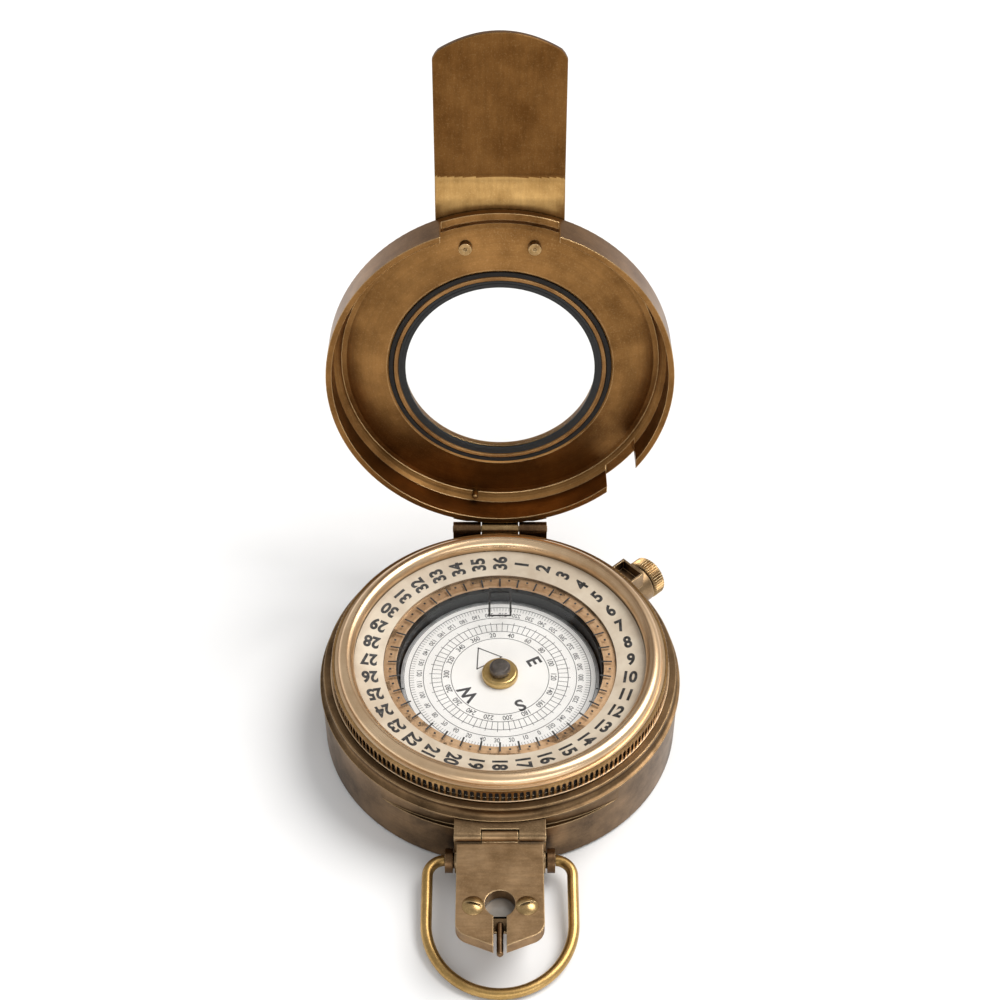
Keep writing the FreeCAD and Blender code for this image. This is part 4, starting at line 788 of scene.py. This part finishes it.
def sight_strip():
    """The strip as a grid of rows from the root to the arched end, closed all round."""
    rows, columns = 150, 32
    form = bmesh.new()
    sheets = []
    for side in (0.0, STRIP_THICK):
        grid = []
        for r in range(rows + 1):
            line = []
            for c in range(columns + 1):
                across = -1.0 + 2.0 * c / columns
                x = STRIP_HALF * math.sin(across * math.pi / 2) * 0.35 + STRIP_HALF * across * 0.65
                drop = (STRIP_CROWN - STRIP_CORNER) * (x / STRIP_HALF) ** 2
                corner = 0.9 * max(0.0, (abs(x) - (STRIP_HALF - 1.2)) / 1.2) ** 2.2
                end = STRIP_CROWN - drop - corner
                reach = STRIP_ROOT + (end - STRIP_ROOT) * r / rows
                along = min(max((reach - STEP_START) / (STEP_END - STEP_START), 0.0), 1.0)
                lift = STEP * along * along * (3 - 2 * along)
                wave = 0.035 * noise.noise(Vector((x, reach, 0.0)) * 0.16) if reach > STEP_END else 0.0
                crease = 0.10 * math.exp(-((reach - STEP_END) / 0.28) ** 2) * (1.0 if side == 0.0 else -1.0)
                line.append(form.verts.new((x * MM, -reach * MM, (STRIP_BASE + side + lift + wave + crease) * MM)))
            grid.append(line)
        sheets.append(grid)
    low, high = sheets
    for r in range(rows):
        for c in range(columns):
            # Rows from the root to the step take the second finish, painted lighter for the light the sloping step
            # catches.
            painted_lit_row = 1 if -low[r][c].co.y / MM < STEP_END - 0.35 else 0
            form.faces.new((high[r][c], high[r + 1][c], high[r + 1][c + 1], high[r][c + 1])).material_index = painted_lit_row
            form.faces.new((low[r][c], low[r][c + 1], low[r + 1][c + 1], low[r + 1][c])).material_index = painted_lit_row
    edge = ([(0, c) for c in range(columns + 1)] + [(r, columns) for r in range(1, rows + 1)]
            + [(rows, c) for c in range(columns - 1, -1, -1)] + [(r, 0) for r in range(rows - 1, 0, -1)])
    for (ra, ca), (rb, cb) in zip(edge, edge[1:] + edge[:1]):
        form.faces.new((low[ra][ca], low[rb][cb], high[rb][cb], high[ra][ca]))
    bmesh.ops.transform(form, matrix=OPEN, verts=form.verts)
    return form


def brushed_strip(tree):
    return drawn_lines(tree, (1.0, 0.25, 0.12), 1500.0)


strip_brass = aged_brass("strip_brass", (0.105, 0.043, 0.010), (0.190, 0.088, 0.025), (0.60, 0.40, 0.18),
                         rough=(0.38, 0.52),
                         blotch=150.0, lines=brushed_strip, line_depth=0.2, edge=0.15, wear=0.7, shade_and_dirt=0.5, pits=0.3)
# Painted light: a lighter copy of the strip's brass for the upward-sloping step.
step_brass = aged_brass("step_brass", (0.24, 0.13, 0.040), (0.42, 0.255, 0.092), (0.80, 0.58, 0.30), rough=(0.30, 0.42),
                        blotch=150.0, lines=brushed_strip, line_depth=0.25, edge=0.15, wear=0.7, shade_and_dirt=0.35)
strip = piece("sight_strip", sight_strip(), "lid", strip_brass, step_brass, slot="dark_brass",
              stands_for=("lid_tongue",))
rounding = strip.modifiers.new("rounding", "BEVEL")
rounding.width = 0.14 * MM
rounding.segments = 2
rounding.limit_method = "ANGLE"
rounding.angle_limit = math.radians(50.0)

# ---------------------------------------------------------------- Lid hinge
# Two brass leaves, one brazed to the lid and one to the case, with three knuckles on a pin. The middle knuckle belongs
# to the lid and is painted lighter, as painted highlight for the light it catches; the outer two stay dark.
dark_hinge = aged_brass("dark_hinge", (0.085, 0.045, 0.022), (0.22, 0.13, 0.065), (0.56, 0.38, 0.20),
                        rough=(0.30, 0.46),
                        blotch=300.0, edge=0.15, wear=0.8, shade_and_dirt=0.8)
bright_knuckle = aged_brass("bright_knuckle", (0.26, 0.155, 0.065), (0.50, 0.335, 0.16), (0.95, 0.74, 0.43),
                            rough=(0.24, 0.36),
                            blotch=400.0, edge=0.12, wear=0.8, shade_and_dirt=0.6)
dress(dark_hinge, "case_hinge_leaf")
dress(bright_knuckle, "lid_hinge_leaf", "lid_hinge_pin", "prism_hinge_pin")

# ---------------------------------------------------------------- Prism bracket and housing
# A milled bracket is screwed to the front wall. Its knuckles carry the prism's cover, its ears the
# thumb ring. The housing is a folded brass box under the cover, and holds a ground glass prism.
dress(boss_brass, "prism_bracket", "prism_housing")
prism_look = clouded_stone("prism_look", (0.20, 0.18, 0.155), (0.30, 0.275, 0.245), (0.10, 0.22), 260.0, 5.0,
                           coat=0.5)
dress(prism_look, "prism_glass")

# ---------------------------------------------------------------- Prism cover
# A thick brass plate with a keyhole to look down through. Its edges are chamfered and rubbed bright,
# its face is brushed and mottled, and two domed slotted screws hold it to the housing.


def finished_copy(node, name, body, material, rounding_mm, slot):
    """A merged copy of a CAD node with its edges rounded, which stands for that node."""
    form = bmesh.new()
    form.from_mesh(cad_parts[node].data)
    bmesh.ops.remove_doubles(form, verts=form.verts, dist=1e-7)
    bmesh.ops.dissolve_limit(form, angle_limit=math.radians(0.4), verts=form.verts, edges=form.edges)
    mesh = bpy.data.meshes.new(name)
    form.to_mesh(mesh)
    form.free()
    made = piece(name, mesh, body, material, slot=slot, stands_for=(node,))
    bevel = made.modifiers.new("rounding", "BEVEL")
    bevel.width = rounding_mm * MM
    bevel.segments = 2
    bevel.limit_method = "ANGLE"
    bevel.angle_limit = math.radians(32.0)
    return made


def brushed_plate(tree):
    return drawn_lines(tree, (0.18, 1.0, 1.0), 1600.0)


plate_brass = aged_brass("plate_brass", (0.19, 0.112, 0.052), (0.43, 0.275, 0.145), (0.85, 0.62, 0.35),
                         rough=(0.30, 0.44),
                         blotch=230.0, lines=brushed_plate, line_depth=0.35, edge=0.26, wear=1.0, shade_and_dirt=0.5)
finished_copy("prism_cover", "prism_cover_plate", "prism", plate_brass, 0.16, "case_brass")
domed_brass = aged_brass("domed_brass", (0.30, 0.19, 0.08), (0.55, 0.37, 0.165), (0.92, 0.70, 0.40), rough=(0.26, 0.38),
                         blotch=500.0, edge=0.12, wear=0.9, shade_and_dirt=0.85)
finished_copy("cover_screws", "cover_screw_heads", "prism", domed_brass, 0.07, "gold_brass")
dress(dark_hinge, "sight_wire")

# ---------------------------------------------------------------- Thumb ring
# The ring is bent from round brass wire and polished by handling. Its thinner ends turn in two
# flanged bushes pressed beside the bracket's ears.
ring_gold = aged_brass("ring_gold", (0.36, 0.22, 0.072), (0.62, 0.40, 0.155), (0.92, 0.68, 0.34), rough=(0.30, 0.42),
                       blotch=130.0, edge=0.10, wear=0.5, shade_and_dirt=0.6)
dress(ring_gold, "thumb_ring")
dress(dark_hinge, "ring_collars")

# ---------------------------------------------------------------- Studio
# A pale floor under soft lamps, and the camera that looks down at the dial.


def floor_finish():
    """Matt white paper with the faintest grain."""
    made, tree, paper = blank_finish("pale_floor")
    grain = cloud(tree, own_place(tree), 60.0, 4.0)
    tree.links.new(ramp(tree, grain, [(0.3, 0.90), (0.7, 0.92)]), paper.inputs["Base Color"])
    paper.inputs["Roughness"].default_value = 0.9
    paper.inputs["Specular IOR Level"].default_value = 0.1
    return made


floor_mesh = bpy.data.meshes.new("studio_floor")
FLOOR_HALF, FLOOR_Z = 90.0, -0.00004
floor_mesh.from_pydata([(-FLOOR_HALF, -FLOOR_HALF, FLOOR_Z), (FLOOR_HALF, -FLOOR_HALF, FLOOR_Z),
                        (FLOOR_HALF, FLOOR_HALF, FLOOR_Z), (-FLOOR_HALF, FLOOR_HALF, FLOOR_Z)], [], [(0, 1, 2, 3)])
floor_mesh.materials.append(floor_finish())
floor = bpy.data.objects.new("studio_floor", floor_mesh)
bpy.context.scene.collection.objects.link(floor)


def soft_lamp(name, place, target, size, power, tint=(1.0, 1.0, 1.0)):
    lamp = bpy.data.lights.new(name, "AREA")
    lamp.shape = "RECTANGLE"
    lamp.size, lamp.size_y = size
    lamp.energy = power
    lamp.color = tint
    holder = bpy.data.objects.new(name, lamp)
    holder.location = place
    holder.rotation_euler = (Vector(target) - Vector(place)).to_track_quat("-Z", "Y").to_euler()
    bpy.context.scene.collection.objects.link(holder)


def broad_sun(name, azimuth, height, spread, power, tint):
    """Large soft lamp that lights the whole floor evenly."""
    lamp = bpy.data.lights.new(name, "SUN")
    lamp.energy = power
    lamp.angle = math.radians(spread)
    lamp.color = tint
    holder = bpy.data.objects.new(name, lamp)
    a, h = math.radians(azimuth), math.radians(height)
    towards = Vector((math.cos(a) * math.cos(h), math.sin(a) * math.cos(h), math.sin(h)))
    holder.rotation_euler = towards.to_track_quat("Z", "Y").to_euler()
    bpy.context.scene.collection.objects.link(holder)


broad_sun("key_lamp", 22.0, 56.0, 40.0, 2.6, (1.0, 0.985, 0.965))
soft_lamp("front_lamp", (0.15, -0.80, 0.35), (0.0, 0.0, 0.04), (1.0, 0.30), 2.2)
world = bpy.data.worlds.new("studio_air")
world.use_nodes = True
world.node_tree.nodes["Background"].inputs["Color"].default_value = (1.0, 1.0, 1.0, 1.0)
world.node_tree.nodes["Background"].inputs["Strength"].default_value = 0.52
bpy.context.scene.world = world
bpy.context.scene.view_settings.view_transform = "Standard"

camera = bpy.data.cameras.new("dial_camera")
camera.sensor_width = 36.0
camera.lens = 64.8
camera.clip_start = 0.01
camera.clip_end = 400.0
viewer = bpy.data.objects.new("dial_camera", camera)
viewer.location = (0.0, -0.20423, 0.25942)
viewer.rotation_euler = (math.radians(90.0 - 44.89), 0.0, 0.0)
bpy.context.scene.collection.objects.link(viewer)
bpy.context.scene.camera = viewer
